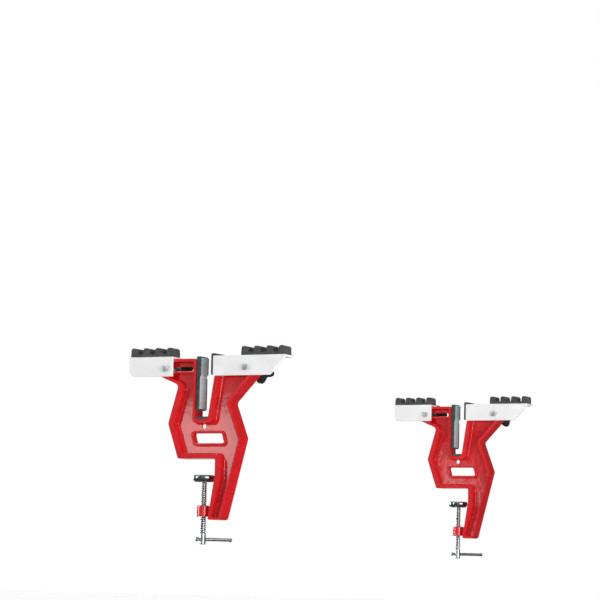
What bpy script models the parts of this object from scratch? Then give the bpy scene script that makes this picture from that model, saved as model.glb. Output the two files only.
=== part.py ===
"""Pair of clamp-on bench vises that hold a snowboard on its pads or a ski on edge.

X runs across a unit, Y along the bench edge and Z up. Each unit's own origin is on its
screw axis, halfway through the casting, at the height of the bench top it stands on.
"""
from math import acos, atan2, cos, pi, radians, sin, tan

import bmesh
import bpy
from mathutils import Matrix, Vector

MM = 0.001

# The pair
UNIT_SPACING = 1070 * MM
FIT_GAP = 0.3 * MM

# Frame casting: section
FRAME_DEPTH = 28 * MM
FLANGE = 4.3 * MM
WEB = 4.4 * MM
POCKET_DRAFT = 1 * MM
POCKET_FILLET = 2.5 * MM
EDGE_BREAK = 0.8 * MM

# Frame casting: wider stretches of the flange
NECK_FLANGE = 5 * MM
SIDE_FLANGE = 10 * MM
BENCH_FLANGE = 7.5 * MM
HIP_FLANGE = 6 * MM
SLOT_FLANGE = 8.5 * MM
SLOT_FLOOR_FLANGE = 6 * MM
SPINE_STEP = 5 * MM

# Frame casting: outline
THROAT_REACH = 26.7 * MM
THROAT_WALL = 28 * MM
THROAT_ROOT = 3 * MM
FOOT_DROP = 99.2 * MM
FOOT_INNER = 15.6 * MM
FOOT_OUTER = 38.4 * MM
FOOT_CORNER = 8 * MM
HIP_REACH = 72.6 * MM
HIP_HEIGHT = 33.4 * MM
WAIST_REACH = 50.6 * MM
WAIST_HEIGHT = 91.3 * MM
LONG_BAR_PAST_BOLT = 22.4 * MM
LONG_BAR_END = 15.6 * MM
BAR_TOP = 163.6 * MM
SHORT_BAR_PAST_BOLT = 16.4 * MM
SHORT_BAR_END = 27 * MM
NECK_REACH = 44.3 * MM
NECK_DROP = 42.9 * MM
ELBOW_REACH = 62.1 * MM
ELBOW_HEIGHT = 57.5 * MM
BENCH_FACE_REACH = 42.3 * MM
BEND_CORNER = 7 * MM
SMALL_CORNER = 2.5 * MM

# Ski slot
SLOT_WALL_REACH = 13 * MM
SLOT_FLOOR = 64.5 * MM
SLOT_WIDTH = 24.1 * MM
SLOT_LEAN = 0.15
LINER_THICKNESS = 4 * MM

# Rimmed window and round hole in the web
WINDOW_CENTRE_X = 8.9 * MM
WINDOW_CENTRE_Z = 33.6 * MM
WINDOW_WIDTH = 53 * MM
WINDOW_HEIGHT = 16 * MM
WINDOW_SHEAR = 4.5 * MM
WINDOW_CORNER = 2.5 * MM
WINDOW_RIM = 4.8 * MM
WINDOW_RIM_STAND = 4 * MM
ROUND_HOLE_X = -1.5 * MM
ROUND_HOLE_Z = 53.2 * MM
ROUND_HOLE_RADIUS = 4 * MM

# Adjusting slots and the ribs under them
ADJUST_DROP = 16 * MM
ADJUST_RADIUS = 3.6 * MM
SHORT_SLOT_LENGTH = 51 * MM
SHORT_SLOT_PAST_BOLT = 7.6 * MM
LONG_SLOT_LENGTH = 40.5 * MM
LONG_SLOT_PAST_BOLT = 5.3 * MM
RIB_DROP = 0.5 * MM
RIB_THICKNESS = 3.4 * MM

# Arms
ARM_WALL = 5 * MM
ARM_TOP_WALL = 3.5 * MM
ARM_HEIGHT = 32.8 * MM
ARM_OVERHANG = 0.5 * MM
ARM_EDGE = 2 * MM
SHORT_ARM_INNER = 54.4 * MM
SHORT_ARM_LENGTH = 82 * MM
SHORT_ARM_CORNER = 12.5 * MM
LONG_ARM_INNER = 21.1 * MM
LONG_ARM_LENGTH = 130.5 * MM
LONG_ARM_SLANT = 27 * MM
LONG_ARM_SQUARE_END = 5 * MM

# Rubber pads on the arms
PAD_BLOCKS = 4
PAD_BLOCK = 11.5 * MM
PAD_GROOVE = 11 * MM
PAD_BASE = 4 * MM
PAD_HEIGHT = 14.4 * MM
PAD_DEPTH = 26 * MM
PAD_BLOCK_ROUND = 4 * MM
PAD_BLOCK_DRAFT = 0.7 * MM
LONG_PAD_END = 0.6 * MM

# Rubber nose on the long arm
NOSE_THICKNESS = 3.4 * MM
NOSE_STAND = 3.6 * MM
NOSE_LIP = 5 * MM
NOSE_RISE = 1.5 * MM

# Ski jaw
JAW_FOOT = 79.4 * MM
JAW_ABOVE_BAR = 3.8 * MM
JAW_LOWER_THICKNESS = 6.3 * MM
JAW_UPPER_THICKNESS = 8 * MM
JAW_STEP = 135 * MM
JAW_STEP_RUN = 4 * MM
JAW_SIDE_INSET = 1.6 * MM
JAW_RIM = 3 * MM
JAW_PAD_SEAT = 2.2 * MM
JAW_PAD_STAND = 0.5 * MM

# Arm bolts and their stack
BOLT_RADIUS = 3 * MM
BOLT_HOLE_GAP = 0.4 * MM
BOLT_HEAD_FLATS = 10 * MM
BOLT_HEAD_HEIGHT = 4 * MM
BOLT_SETBACK_SHORT = 12 * MM
BOLT_SETBACK_LONG = 60.1 * MM
WASHER_RADIUS = 6.2 * MM
WASHER_THICKNESS = 1.6 * MM
SLEEVE_RADIUS = 5.5 * MM
SLEEVE_LENGTH = 16.8 * MM

# Knobs
KNOB_RADIUS = 22.5 * MM
KNOB_VALLEY = 15 * MM
KNOB_LOBES = 5
KNOB_HUB_RADIUS = 11 * MM
KNOB_HUB_LENGTH = 6 * MM
KNOB_LOBE_LENGTH = 16 * MM
KNOB_BORE_DEPTH = 15 * MM
KNOB_NUT_HEIGHT = 5 * MM
KNOB_NUT_DEPTH = 2 * MM

# Clamp screw, its boss and its foot
SCREW_RADIUS = 5.2 * MM
SCREW_GAP = 0.3 * MM
SCREW_BELOW_FOOT = 101.4 * MM
BOSS_RADIUS = 11.5 * MM
BOSS_TOP = 76 * MM
BOSS_HEIGHT = 18 * MM
BOSS_LINK = 8 * MM
BENCH_GAP = 26.5 * MM
CLAMP_FOOT_RADIUS = 18.5 * MM
CLAMP_FOOT_SMALL_RADIUS = 14.5 * MM
CLAMP_FOOT_RIM = 5 * MM
CLAMP_FOOT_HEIGHT = 11 * MM
BALL_RADIUS = 4.6 * MM
BALL_DEPTH = 6.5 * MM
BALL_NECK_RADIUS = 3.2 * MM
SOCKET_GAP = 0.3 * MM
SOCKET_MOUTH_GAP = 0.7 * MM
FOOT_SHOULDER_GAP = 1 * MM

# Tommy bar
TOMMY_RADIUS = 2.75 * MM
TOMMY_LENGTH = 62 * MM
TOMMY_END_RADIUS = 3.3 * MM
TOMMY_END_LENGTH = 4 * MM
TOMMY_ABOVE_END = 8.3 * MM
TOMMY_SHIFT = 19 * MM
TOMMY_GAP = 0.3 * MM

# How each unit of the pair is set: its name, place along the bench, bar angle and knob angles
UNITS = (
    ("near", 0.0, radians(46), radians(-31), radians(20)),
    ("far", UNIT_SPACING, radians(29), radians(-12), radians(5)),
)

ARC_STEPS = 3
ROUND_SIDES = 32
SMALL_SIDES = 24
BOLT_SIDES = 12
KNOB_SIDES = 40

# Heights and depths that follow from the sizes above
FRONT = -FRAME_DEPTH / 2
BACK = FRAME_DEPTH / 2
LONG_BAR_LOW = BAR_TOP - LONG_BAR_END
SHORT_BAR_LOW = BAR_TOP - SHORT_BAR_END
NECK_HEIGHT = BAR_TOP - NECK_DROP
SLOT_RIGHT_FLOOR = SLOT_WIDTH - SLOT_WALL_REACH
SLOT_RIGHT_TOP = SLOT_RIGHT_FLOOR + SLOT_LEAN * (BAR_TOP - SLOT_FLOOR)
ADJUST_HEIGHT = BAR_TOP - ADJUST_DROP
ARM_FRONT = FRONT - FIT_GAP - ARM_WALL
ARM_BACK = BACK + ARM_OVERHANG
ARM_TOP = BAR_TOP + FIT_GAP + ARM_TOP_WALL
ARM_BOTTOM = ARM_TOP - ARM_HEIGHT
SHORT_BOLT_X = -SHORT_ARM_INNER - BOLT_SETBACK_SHORT
LONG_BOLT_X = LONG_ARM_INNER + BOLT_SETBACK_LONG
LONG_BAR_REACH = LONG_BOLT_X + LONG_BAR_PAST_BOLT
SHORT_BAR_REACH = SHORT_BAR_PAST_BOLT - SHORT_BOLT_X
SHORT_SLOT_OUTER = SHORT_SLOT_PAST_BOLT - SHORT_BOLT_X
SHORT_SLOT_INNER = SHORT_SLOT_OUTER - SHORT_SLOT_LENGTH
LONG_SLOT_OUTER = LONG_BOLT_X + LONG_SLOT_PAST_BOLT
LONG_SLOT_INNER = LONG_SLOT_OUTER - LONG_SLOT_LENGTH
PAD_LENGTH = PAD_BLOCKS * PAD_BLOCK + (PAD_BLOCKS - 1) * PAD_GROOVE
JAW_TOP = BAR_TOP + JAW_ABOVE_BAR
WEB_WASHER_Y = WEB / 2 + FIT_GAP
SLEEVE_Y = WEB_WASHER_Y + WASHER_THICKNESS + FIT_GAP
KNOB_WASHER_Y = SLEEVE_Y + SLEEVE_LENGTH + FIT_GAP
KNOB_Y = KNOB_WASHER_Y + WASHER_THICKNESS + FIT_GAP
FOOT_TOP = -BENCH_GAP
FOOT_BOTTOM = FOOT_TOP - CLAMP_FOOT_HEIGHT
BALL_HEIGHT = FOOT_TOP - BALL_DEPTH
SCREW_SHOULDER = FOOT_BOTTOM - FOOT_SHOULDER_GAP
SCREW_END = FOOT_BOTTOM - SCREW_BELOW_FOOT
TOMMY_HEIGHT = SCREW_END + TOMMY_ABOVE_END


def clear_scene():
    """Remove every object that is already in the file."""
    for obj in list(bpy.data.objects):
        bpy.data.objects.remove(obj)


def make_material(name, colour, roughness, metallic=0.0):
    """One Principled material, with its colour given as linear red, green and blue."""
    material = bpy.data.materials.new(name)
    material.use_nodes = True
    shader = material.node_tree.nodes["Principled BSDF"]
    shader.inputs["Base Color"].default_value = (*colour, 1.0)
    shader.inputs["Roughness"].default_value = roughness
    shader.inputs["Metallic"].default_value = metallic
    return material


def offset_corners(corners, distance):
    """Move an anticlockwise outline inward by distance, keeping its rounded corners concentric."""
    count = len(corners)
    shifted = []
    for i, (x, z, radius) in enumerate(corners):
        before = Vector(corners[i - 1][:2])
        here = Vector((x, z))
        after = Vector(corners[(i + 1) % count][:2])
        along_in = (here - before).normalized()
        along_out = (after - here).normalized()
        normal_in = Vector((-along_in.y, along_in.x))
        normal_out = Vector((-along_out.y, along_out.x))
        bisector = (normal_in + normal_out).normalized()
        point = here + bisector * (distance / bisector.dot(normal_in))
        turn = along_in.x * along_out.y - along_in.y * along_out.x
        grown = radius - distance if turn > 0 else radius + distance
        shifted.append((point.x, point.y, max(grown, 0.4 * MM) if radius else 0))
    return shifted


def offset_sides(corners, distances):
    """Move each side of an anticlockwise outline inward by its own distance."""
    count = len(corners)
    shifted = []
    for i, (x, z, radius) in enumerate(corners):
        before = Vector(corners[i - 1][:2])
        here = Vector((x, z))
        after = Vector(corners[(i + 1) % count][:2])
        along_in = (here - before).normalized()
        along_out = (after - here).normalized()
        turn = along_in.x * along_out.y - along_in.y * along_out.x
        point = here + (along_out * distances[i - 1] - along_in * distances[i]) / turn
        nearer = min(distances[i - 1], distances[i])
        grown = radius - nearer if turn > 0 else radius + nearer
        shifted.append((point.x, point.y, max(grown, 0.4 * MM)))
    return shifted


def round_corners(corners, steps=ARC_STEPS):
    """Turn corners of (x, z, radius) into outline points, with an arc at each rounded corner."""
    count = len(corners)
    points = []
    for i, (x, z, radius) in enumerate(corners):
        here = Vector((x, z))
        to_before = Vector(corners[i - 1][:2]) - here
        to_after = Vector(corners[(i + 1) % count][:2]) - here
        if radius <= 0:
            points.append(here)
            continue
        half = acos(max(-1.0, min(1.0, to_before.normalized().dot(to_after.normalized())))) / 2
        room = 0.48 * min(to_before.length, to_after.length)
        trim = min(radius / tan(half), room)
        radius = trim * tan(half)
        start = here + to_before.normalized() * trim
        end = here + to_after.normalized() * trim
        centre = here + (to_before.normalized() + to_after.normalized()).normalized() * (radius / sin(half))
        first = atan2(start.y - centre.y, start.x - centre.x)
        sweep = atan2(end.y - centre.y, end.x - centre.x) - first
        sweep = (sweep + pi) % (2 * pi) - pi
        for step in range(steps + 1):
            angle = first + sweep * step / steps
            points.append(centre + radius * Vector((cos(angle), sin(angle))))
    return points


def new_mesh(name, bm):
    """Write a bmesh to a new mesh with its faces turned outward."""
    bmesh.ops.recalc_face_normals(bm, faces=bm.faces)
    mesh = bpy.data.meshes.new(name)
    bm.to_mesh(mesh)
    bm.free()
    return mesh


def loft(name, rings):
    """A closed body through rings of equal point counts, capped at both ends."""
    bm = bmesh.new()
    loops = [[bm.verts.new(point) for point in ring] for ring in rings]
    bm.faces.new(loops[0])
    bm.faces.new(loops[-1])
    count = len(loops[0])
    for lower, upper in zip(loops, loops[1:]):
        for i in range(count):
            j = (i + 1) % count
            bm.faces.new((lower[i], lower[j], upper[j], upper[i]))
    return new_mesh(name, bm)


def plate(name, corners, y_low, y_high, edge=0.0, steps=ARC_STEPS):
    """An outline in X and Z given thickness along Y, with an optional chamfer round both faces."""
    levels = [(y_low, 0.0), (y_high, 0.0)]
    if edge > 0:
        levels = [(y_low, edge), (y_low + edge, 0.0), (y_high - edge, 0.0), (y_high, edge)]
    rings = []
    for y, inset in levels:
        outline = round_corners(offset_corners(corners, inset) if inset else corners, steps)
        rings.append([(p.x, y, p.y) for p in outline])
    return loft(name, rings)


def section_bar(name, corners, x_low, x_high, steps=ARC_STEPS):
    """An outline in Y and Z run along X."""
    outline = round_corners(corners, steps)
    return loft(name, [[(x, p.x, p.y) for p in outline] for x in (x_low, x_high)])


def circle(radius, sides):
    """Points of a circle, anticlockwise."""
    return [(radius * cos(2 * pi * i / sides), radius * sin(2 * pi * i / sides)) for i in range(sides)]


def turned(name, profile, sides, axis="Z"):
    """A turned body: profile is (radius, height) from one end to the other, inside the ends closed."""
    rings = []
    for radius, height in profile:
        if axis == "Z":
            rings.append([(x, y, height) for x, y in circle(radius, sides)])
        else:
            rings.append([(x, height, y) for x, y in circle(radius, sides)])
    return loft(name, rings)


def turned_ring(name, profile, sides, axis="Z"):
    """A turned body with a hole: profile is a closed loop of (radius, height)."""
    bm = bmesh.new()
    loops = []
    for radius, height in profile:
        ring = circle(radius, sides)
        if axis == "Z":
            loops.append([bm.verts.new((x, y, height)) for x, y in ring])
        else:
            loops.append([bm.verts.new((x, height, y)) for x, y in ring])
    for k, lower in enumerate(loops):
        upper = loops[(k + 1) % len(loops)]
        for i in range(sides):
            j = (i + 1) % sides
            bm.faces.new((lower[i], lower[j], upper[j], upper[i]))
    return new_mesh(name, bm)


def box(name, low, high):
    """A plain block between two corners."""
    bm = bmesh.new()
    bmesh.ops.create_cube(bm, size=1)
    size = Vector(high) - Vector(low)
    centre = (Vector(high) + Vector(low)) / 2
    bmesh.ops.scale(bm, vec=size, verts=bm.verts)
    bmesh.ops.translate(bm, vec=centre, verts=bm.verts)
    return new_mesh(name, bm)


def combine(body, tool, operation):
    """Join a tool mesh to a body mesh or cut it away, and return the result as a mesh."""
    body_object = bpy.data.objects.new("body", body)
    tool_object = bpy.data.objects.new("tool", tool)
    for obj in (body_object, tool_object):
        bpy.context.scene.collection.objects.link(obj)
    modifier = body_object.modifiers.new("combine", "BOOLEAN")
    modifier.operation = operation
    modifier.object = tool_object
    bpy.context.view_layer.update()
    evaluated = body_object.evaluated_get(bpy.context.evaluated_depsgraph_get())
    result = bpy.data.meshes.new_from_object(evaluated)
    result.name = body.name
    for obj in (body_object, tool_object):
        bpy.data.objects.remove(obj)
    return result


def cut(body, tool):
    """Take a tool away from a body."""
    return combine(body, tool, "DIFFERENCE")


def join(body, tool):
    """Fuse a tool with a body."""
    return combine(body, tool, "UNION")


def moved(mesh, x=0.0, y=0.0, z=0.0):
    """Shift a mesh in place and return it."""
    mesh.transform(Matrix.Translation((x, y, z)))
    return mesh


def frame_corners():
    """Outer outline of the casting, anticlockwise from the foot's lower left corner."""
    return [
        (FOOT_INNER, -FOOT_DROP, SMALL_CORNER),
        (FOOT_OUTER, -FOOT_DROP, FOOT_CORNER),
        (HIP_REACH, HIP_HEIGHT, BEND_CORNER),
        (WAIST_REACH, WAIST_HEIGHT, BEND_CORNER),
        (LONG_BAR_REACH, LONG_BAR_LOW, SMALL_CORNER),
        (LONG_BAR_REACH, BAR_TOP, SMALL_CORNER),
        (SLOT_RIGHT_TOP, BAR_TOP, SMALL_CORNER),
        (SLOT_RIGHT_FLOOR, SLOT_FLOOR, SMALL_CORNER),
        (-SLOT_WALL_REACH, SLOT_FLOOR, SMALL_CORNER),
        (-SLOT_WALL_REACH, BAR_TOP, SMALL_CORNER),
        (-SHORT_BAR_REACH, BAR_TOP, SMALL_CORNER),
        (-SHORT_BAR_REACH, SHORT_BAR_LOW, SMALL_CORNER),
        (-NECK_REACH, NECK_HEIGHT, BEND_CORNER),
        (-ELBOW_REACH, ELBOW_HEIGHT, BEND_CORNER),
        (-BENCH_FACE_REACH, 0.0, SMALL_CORNER),
        (THROAT_REACH, 0.0, THROAT_ROOT),
        (THROAT_REACH, -THROAT_WALL, BEND_CORNER),
    ]


def pocket_corners():
    """The pocket's rim: the outline moved inward by the flange's width on each of its sides."""
    widths = [
        FLANGE,
        FLANGE,
        HIP_FLANGE,
        HIP_FLANGE,
        FLANGE,
        FLANGE,
        SLOT_FLANGE,
        SLOT_FLOOR_FLANGE,
        FLANGE,
        FLANGE,
        FLANGE,
        NECK_FLANGE,
        SIDE_FLANGE,
        SIDE_FLANGE,
        BENCH_FLANGE,
        SIDE_FLANGE,
        FLANGE,
    ]
    corners = offset_sides(frame_corners(), widths)
    corners[-1] = (THROAT_REACH + SIDE_FLANGE, -THROAT_WALL - SPINE_STEP, BEND_CORNER)
    return corners


def pocket_cutter(side):
    """The drafted and filleted hollow in one face of the casting; side is -1 in front, 1 behind."""
    mouth = FRAME_DEPTH / 2
    floor = WEB / 2
    levels = [
        (mouth + 2 * MM, -EDGE_BREAK),
        (mouth, -EDGE_BREAK),
        (mouth - EDGE_BREAK, 0.0),
    ]
    for turn in (0, 45, 90):
        inset = POCKET_DRAFT + POCKET_FILLET * (1 - cos(radians(turn)))
        levels.append((floor + POCKET_FILLET * (1 - sin(radians(turn))), inset))
    rings = []
    for y, inset in levels:
        outline = round_corners(offset_corners(pocket_corners(), inset))
        rings.append([(p.x, side * y, p.y) for p in outline])
    return loft("pocket", rings)


def window_corners(grow, corner):
    """The window's slanted outline, grown outward by grow."""
    half_width = WINDOW_WIDTH / 2 + grow
    half_height = WINDOW_HEIGHT / 2 + grow
    shear = WINDOW_SHEAR / 2 * half_height / (WINDOW_HEIGHT / 2)
    return [
        (WINDOW_CENTRE_X - half_width + shear, WINDOW_CENTRE_Z - half_height, corner),
        (WINDOW_CENTRE_X + half_width + shear, WINDOW_CENTRE_Z - half_height, corner),
        (WINDOW_CENTRE_X + half_width - shear, WINDOW_CENTRE_Z + half_height, corner),
        (WINDOW_CENTRE_X - half_width - shear, WINDOW_CENTRE_Z + half_height, corner),
    ]


def obround(name, x_low, x_high, z, radius, y_low, y_high, sides=16):
    """A round-ended slot body along X."""
    outline = []
    for i in range(sides // 2 + 1):
        angle = -pi / 2 + pi * i / (sides // 2)
        outline.append((x_high - radius + radius * cos(angle), z + radius * sin(angle)))
    for i in range(sides // 2 + 1):
        angle = pi / 2 + pi * i / (sides // 2)
        outline.append((x_low + radius + radius * cos(angle), z + radius * sin(angle)))
    return loft(name, [[(x, y, v) for x, v in outline] for y in (y_low, y_high)])


def frame_mesh():
    """The I-section casting with its pockets, ribs, window, slots and screw boss."""
    body = plate("frame", frame_corners(), FRONT, BACK, EDGE_BREAK)
    for side in (-1, 1):
        body = cut(body, pocket_cutter(side))

    rib_top = ADJUST_HEIGHT - ADJUST_RADIUS - RIB_DROP
    rib_low = rib_top - RIB_THICKNESS
    overlap = FLANGE / 2
    wall_at_rib = SLOT_RIGHT_FLOOR + SLOT_LEAN * (rib_low - SLOT_FLOOR)
    rib_end = LONG_BAR_REACH - (LONG_BAR_LOW - rib_low) - overlap
    spans = (
        (-SHORT_BAR_REACH + overlap, -SLOT_WALL_REACH - overlap),
        (wall_at_rib + overlap + SLOT_LEAN * RIB_THICKNESS, rib_end),
    )
    for x_low, x_high in spans:
        rib = [
            (x_low, rib_low, 0),
            (x_high, rib_low, 0),
            (x_high, rib_top, 0),
            (x_low, rib_top, 0),
        ]
        body = join(body, plate("rib", rib, FRONT + EDGE_BREAK, 0.0))

    rim_face = WEB / 2 + WINDOW_RIM_STAND
    rim_corners = window_corners(WINDOW_RIM, WINDOW_RIM + WINDOW_CORNER)
    body = join(body, plate("rim", rim_corners, -rim_face, rim_face, EDGE_BREAK))
    body = cut(body, plate("window", window_corners(0, WINDOW_CORNER), -2 * rim_face, 2 * rim_face))

    hole = turned("hole", [(ROUND_HOLE_RADIUS, -WEB), (ROUND_HOLE_RADIUS, WEB)], 16, "Y")
    body = cut(body, moved(hole, ROUND_HOLE_X, 0, ROUND_HOLE_Z))
    slots = ((-SHORT_SLOT_OUTER, -SHORT_SLOT_INNER), (LONG_SLOT_INNER, LONG_SLOT_OUTER))
    for x_low, x_high in slots:
        body = cut(body, obround("slot", x_low, x_high, ADJUST_HEIGHT, ADJUST_RADIUS, -WEB, WEB))

    boss_low = -BOSS_TOP - BOSS_HEIGHT
    edge = EDGE_BREAK
    boss = turned("boss", [
        (BOSS_RADIUS - edge, boss_low),
        (BOSS_RADIUS, boss_low + edge),
        (BOSS_RADIUS, -BOSS_TOP - edge),
        (BOSS_RADIUS - edge, -BOSS_TOP),
    ], ROUND_SIDES)
    link_end = FOOT_INNER + FLANGE / 2
    link = box("link", (0, -BOSS_LINK / 2, boss_low + edge), (link_end, BOSS_LINK / 2, -BOSS_TOP - edge))
    body = join(body, join(boss, link))
    bore = SCREW_RADIUS + SCREW_GAP
    return cut(body, turned("bore", [(bore, boss_low - MM), (bore, -BOSS_TOP + MM)], SMALL_SIDES))


def slot_liner_mesh():
    """The rubber strip on the ski slot's floor, cut to the slot's lean."""
    low = SLOT_FLOOR + FIT_GAP
    high = SLOT_FLOOR + LINER_THICKNESS
    left = -SLOT_WALL_REACH + FIT_GAP
    corner = SMALL_CORNER + FIT_GAP
    right_low = SLOT_RIGHT_FLOOR - FIT_GAP
    right_high = SLOT_RIGHT_FLOOR + SLOT_LEAN * LINER_THICKNESS - 2 * FIT_GAP
    return plate("slot_liner", [
        (left, low, corner),
        (right_low, low, corner),
        (right_high, high, 0),
        (left, high, 0),
    ], FRONT + FIT_GAP, BACK - FIT_GAP)


def jaw_face(extra, z_low, z_high):
    """The jaw's stepped face as (x, z) pairs from bottom to top, moved toward the slot by extra."""
    wall = -SLOT_WALL_REACH + FIT_GAP
    lower = wall + JAW_LOWER_THICKNESS + extra
    upper = wall + JAW_UPPER_THICKNESS + extra
    return [
        (lower, z_low),
        (lower, JAW_STEP - JAW_STEP_RUN / 2),
        (upper, JAW_STEP + JAW_STEP_RUN / 2),
        (upper, z_high),
    ]


def jaw_strip(name, near_extra, far_extra, z_low, z_high, half_depth, edge):
    """A strip that follows the jaw's stepped face, between two distances from it."""
    outer = jaw_face(far_extra, z_low, z_high)
    inner = jaw_face(near_extra, z_low, z_high)
    corners = [(x, z, 0) for x, z in outer] + [(x, z, 0) for x, z in reversed(inner)]
    return plate(name, corners, -half_depth, half_depth, edge)


def jaw_backing_mesh():
    """The moulded jaw body, with a recess in its stepped face for the pad."""
    wall = -SLOT_WALL_REACH + FIT_GAP
    half_depth = FRAME_DEPTH / 2 - JAW_SIDE_INSET
    corners = [(wall, JAW_FOOT, SMALL_CORNER / 2)]
    corners += [(x, z, SMALL_CORNER / 2) for x, z in jaw_face(0, JAW_FOOT, JAW_TOP)]
    corners.append((wall, JAW_TOP, SMALL_CORNER / 2))
    body = plate("jaw_backing", corners, -half_depth, half_depth, EDGE_BREAK / 2)
    recess = jaw_strip("recess", -JAW_PAD_SEAT, JAW_PAD_SEAT, JAW_FOOT + JAW_RIM, JAW_TOP - JAW_RIM,
                       half_depth - JAW_RIM, 0)
    return cut(body, recess)


def jaw_pad_mesh():
    """The friction pad that fills the jaw's recess and stands a little proud."""
    half_depth = FRAME_DEPTH / 2 - JAW_SIDE_INSET - JAW_RIM - FIT_GAP
    return jaw_strip("jaw_pad", FIT_GAP - JAW_PAD_SEAT, JAW_PAD_STAND, JAW_FOOT + JAW_RIM + FIT_GAP,
                     JAW_TOP - JAW_RIM - FIT_GAP, half_depth, 0)


def arm_section():
    """The arm's L section: a front wall and a wall over the bar, as (y, z, radius)."""
    inside_front = ARM_FRONT + ARM_WALL
    inside_top = ARM_TOP - ARM_TOP_WALL
    return [
        (ARM_FRONT, ARM_BOTTOM, ARM_EDGE),
        (inside_front, ARM_BOTTOM, ARM_EDGE),
        (inside_front, inside_top, 0),
        (ARM_BACK, inside_top, ARM_EDGE / 4),
        (ARM_BACK, ARM_TOP, ARM_EDGE),
        (ARM_FRONT, ARM_TOP, ARM_EDGE),
    ]


def bolt_hole(x):
    """The clearance hole for an arm's bolt."""
    radius = BOLT_RADIUS + BOLT_HOLE_GAP
    hole = turned("hole", [(radius, 0), (radius, 3 * ARM_WALL)], 16, "Y")
    return moved(hole, x, ARM_FRONT - ARM_WALL, ADJUST_HEIGHT)


def short_arm_mesh():
    """The short arm, with one large rounded corner at its outer end."""
    inner = -SHORT_ARM_INNER
    outer = inner - SHORT_ARM_LENGTH
    body = section_bar("short_arm", arm_section(), outer, inner)
    centre_x = outer + SHORT_ARM_CORNER
    centre_z = ARM_BOTTOM + SHORT_ARM_CORNER
    outline = [(outer - MM, ARM_BOTTOM - MM), (centre_x, ARM_BOTTOM - MM)]
    steps = 6
    for i in range(steps + 1):
        angle = -pi / 2 - pi / 2 * i / steps
        outline.append((centre_x + SHORT_ARM_CORNER * cos(angle), centre_z + SHORT_ARM_CORNER * sin(angle)))
    outline.append((outer - MM, centre_z))
    rings = [[(x, y, z) for x, z in outline] for y in (ARM_FRONT - MM, ARM_FRONT + 2 * ARM_WALL)]
    body = cut(body, loft("corner", rings))
    return moved(cut(body, bolt_hole(SHORT_BOLT_X)), -SHORT_BOLT_X, 0, -ADJUST_HEIGHT)


def long_arm_mesh():
    """The long arm, with its front wall cut on a slant at the outer end."""
    inner = LONG_ARM_INNER
    outer = inner + LONG_ARM_LENGTH
    body = section_bar("long_arm", arm_section(), inner, outer)
    slant_top = ARM_TOP - LONG_ARM_SQUARE_END
    slope = LONG_ARM_SLANT / (slant_top - ARM_BOTTOM)
    past = 2 * MM
    outline = [
        (outer + past, slant_top, 0),
        (outer, slant_top, 0),
        (outer - LONG_ARM_SLANT - slope * past, ARM_BOTTOM - past, 0),
        (outer + past, ARM_BOTTOM - past, 0),
    ]
    body = cut(body, plate("slant", outline, ARM_FRONT - MM, ARM_FRONT + 2 * ARM_WALL))
    return moved(cut(body, bolt_hole(LONG_BOLT_X)), -LONG_BOLT_X, 0, -ADJUST_HEIGHT)


def pad_mesh():
    """A rubber strip of round-topped blocks, with its origin at the left end of its base."""
    corners = [(0, 0, 0), (PAD_LENGTH, 0, 0)]
    pitch = PAD_BLOCK + PAD_GROOVE
    root = 1 * MM
    for k in reversed(range(PAD_BLOCKS)):
        left = k * pitch
        right = left + PAD_BLOCK
        if k < PAD_BLOCKS - 1:
            corners.append((right, PAD_BASE, root))
        corners.append((right - PAD_BLOCK_DRAFT, PAD_HEIGHT, PAD_BLOCK_ROUND))
        corners.append((left + PAD_BLOCK_DRAFT, PAD_HEIGHT, PAD_BLOCK_ROUND))
        if k > 0:
            corners.append((left, PAD_BASE, root))
    return plate("pad", corners, 0, PAD_DEPTH, EDGE_BREAK)


def nose_mesh():
    """The rubber nose on the long arm's end, with a lip over the arm's top."""
    right = LONG_ARM_INNER - FIT_GAP
    left = right - NOSE_THICKNESS
    lip_low = ARM_TOP + FIT_GAP
    lip_top = lip_low + NOSE_STAND
    lip_end = right + NOSE_LIP
    corners = [
        (left, ARM_BOTTOM + NOSE_RISE, EDGE_BREAK),
        (right, ARM_BOTTOM + NOSE_RISE, EDGE_BREAK),
        (right, lip_low, 0),
        (lip_end, lip_low, 0),
        (lip_end, lip_top, EDGE_BREAK),
        (left, lip_top, 2 * EDGE_BREAK),
    ]
    return moved(plate("nose", corners, ARM_FRONT, ARM_BACK, EDGE_BREAK / 2), -LONG_BOLT_X, 0, -ADJUST_HEIGHT)


def hexagon(flats, sides):
    """Points of a hexagon, with more points along its sides so that it lofts to a circle."""
    points = []
    for i in range(sides):
        angle = 2 * pi * i / sides
        within = (angle + pi / 6) % (pi / 3) - pi / 6
        radius = flats / 2 / cos(within)
        points.append((radius * cos(angle), radius * sin(angle)))
    return points


def bolt_mesh():
    """The hex bolt, with its head's underside at the origin and its shank along +Y."""
    chamfer = BOLT_HEAD_HEIGHT / 8
    shank = circle(BOLT_RADIUS, BOLT_SIDES)
    top = circle(0.95 * BOLT_HEAD_FLATS / 2, BOLT_SIDES)
    tip = [(0.85 * x, 0.85 * z) for x, z in shank]
    head = hexagon(BOLT_HEAD_FLATS, BOLT_SIDES)
    end = KNOB_Y + KNOB_BORE_DEPTH - 2 * MM - (FRONT - FIT_GAP - ARM_WALL - FIT_GAP)
    rings = [
        (-BOLT_HEAD_HEIGHT, top),
        (-BOLT_HEAD_HEIGHT + chamfer, head),
        (0, head),
        (0, shank),
        (end - BOLT_RADIUS / 4, shank),
        (end, tip),
    ]
    return loft("bolt", [[(x, y, z) for x, z in ring] for y, ring in rings])


def ring_mesh(name, outer, length):
    """A plain tube round the bolt, with its near face at the origin."""
    inner = BOLT_RADIUS + BOLT_HOLE_GAP
    return turned_ring(name, [(inner, 0), (outer, 0), (outer, length), (inner, length)], 16, "Y")


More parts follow.
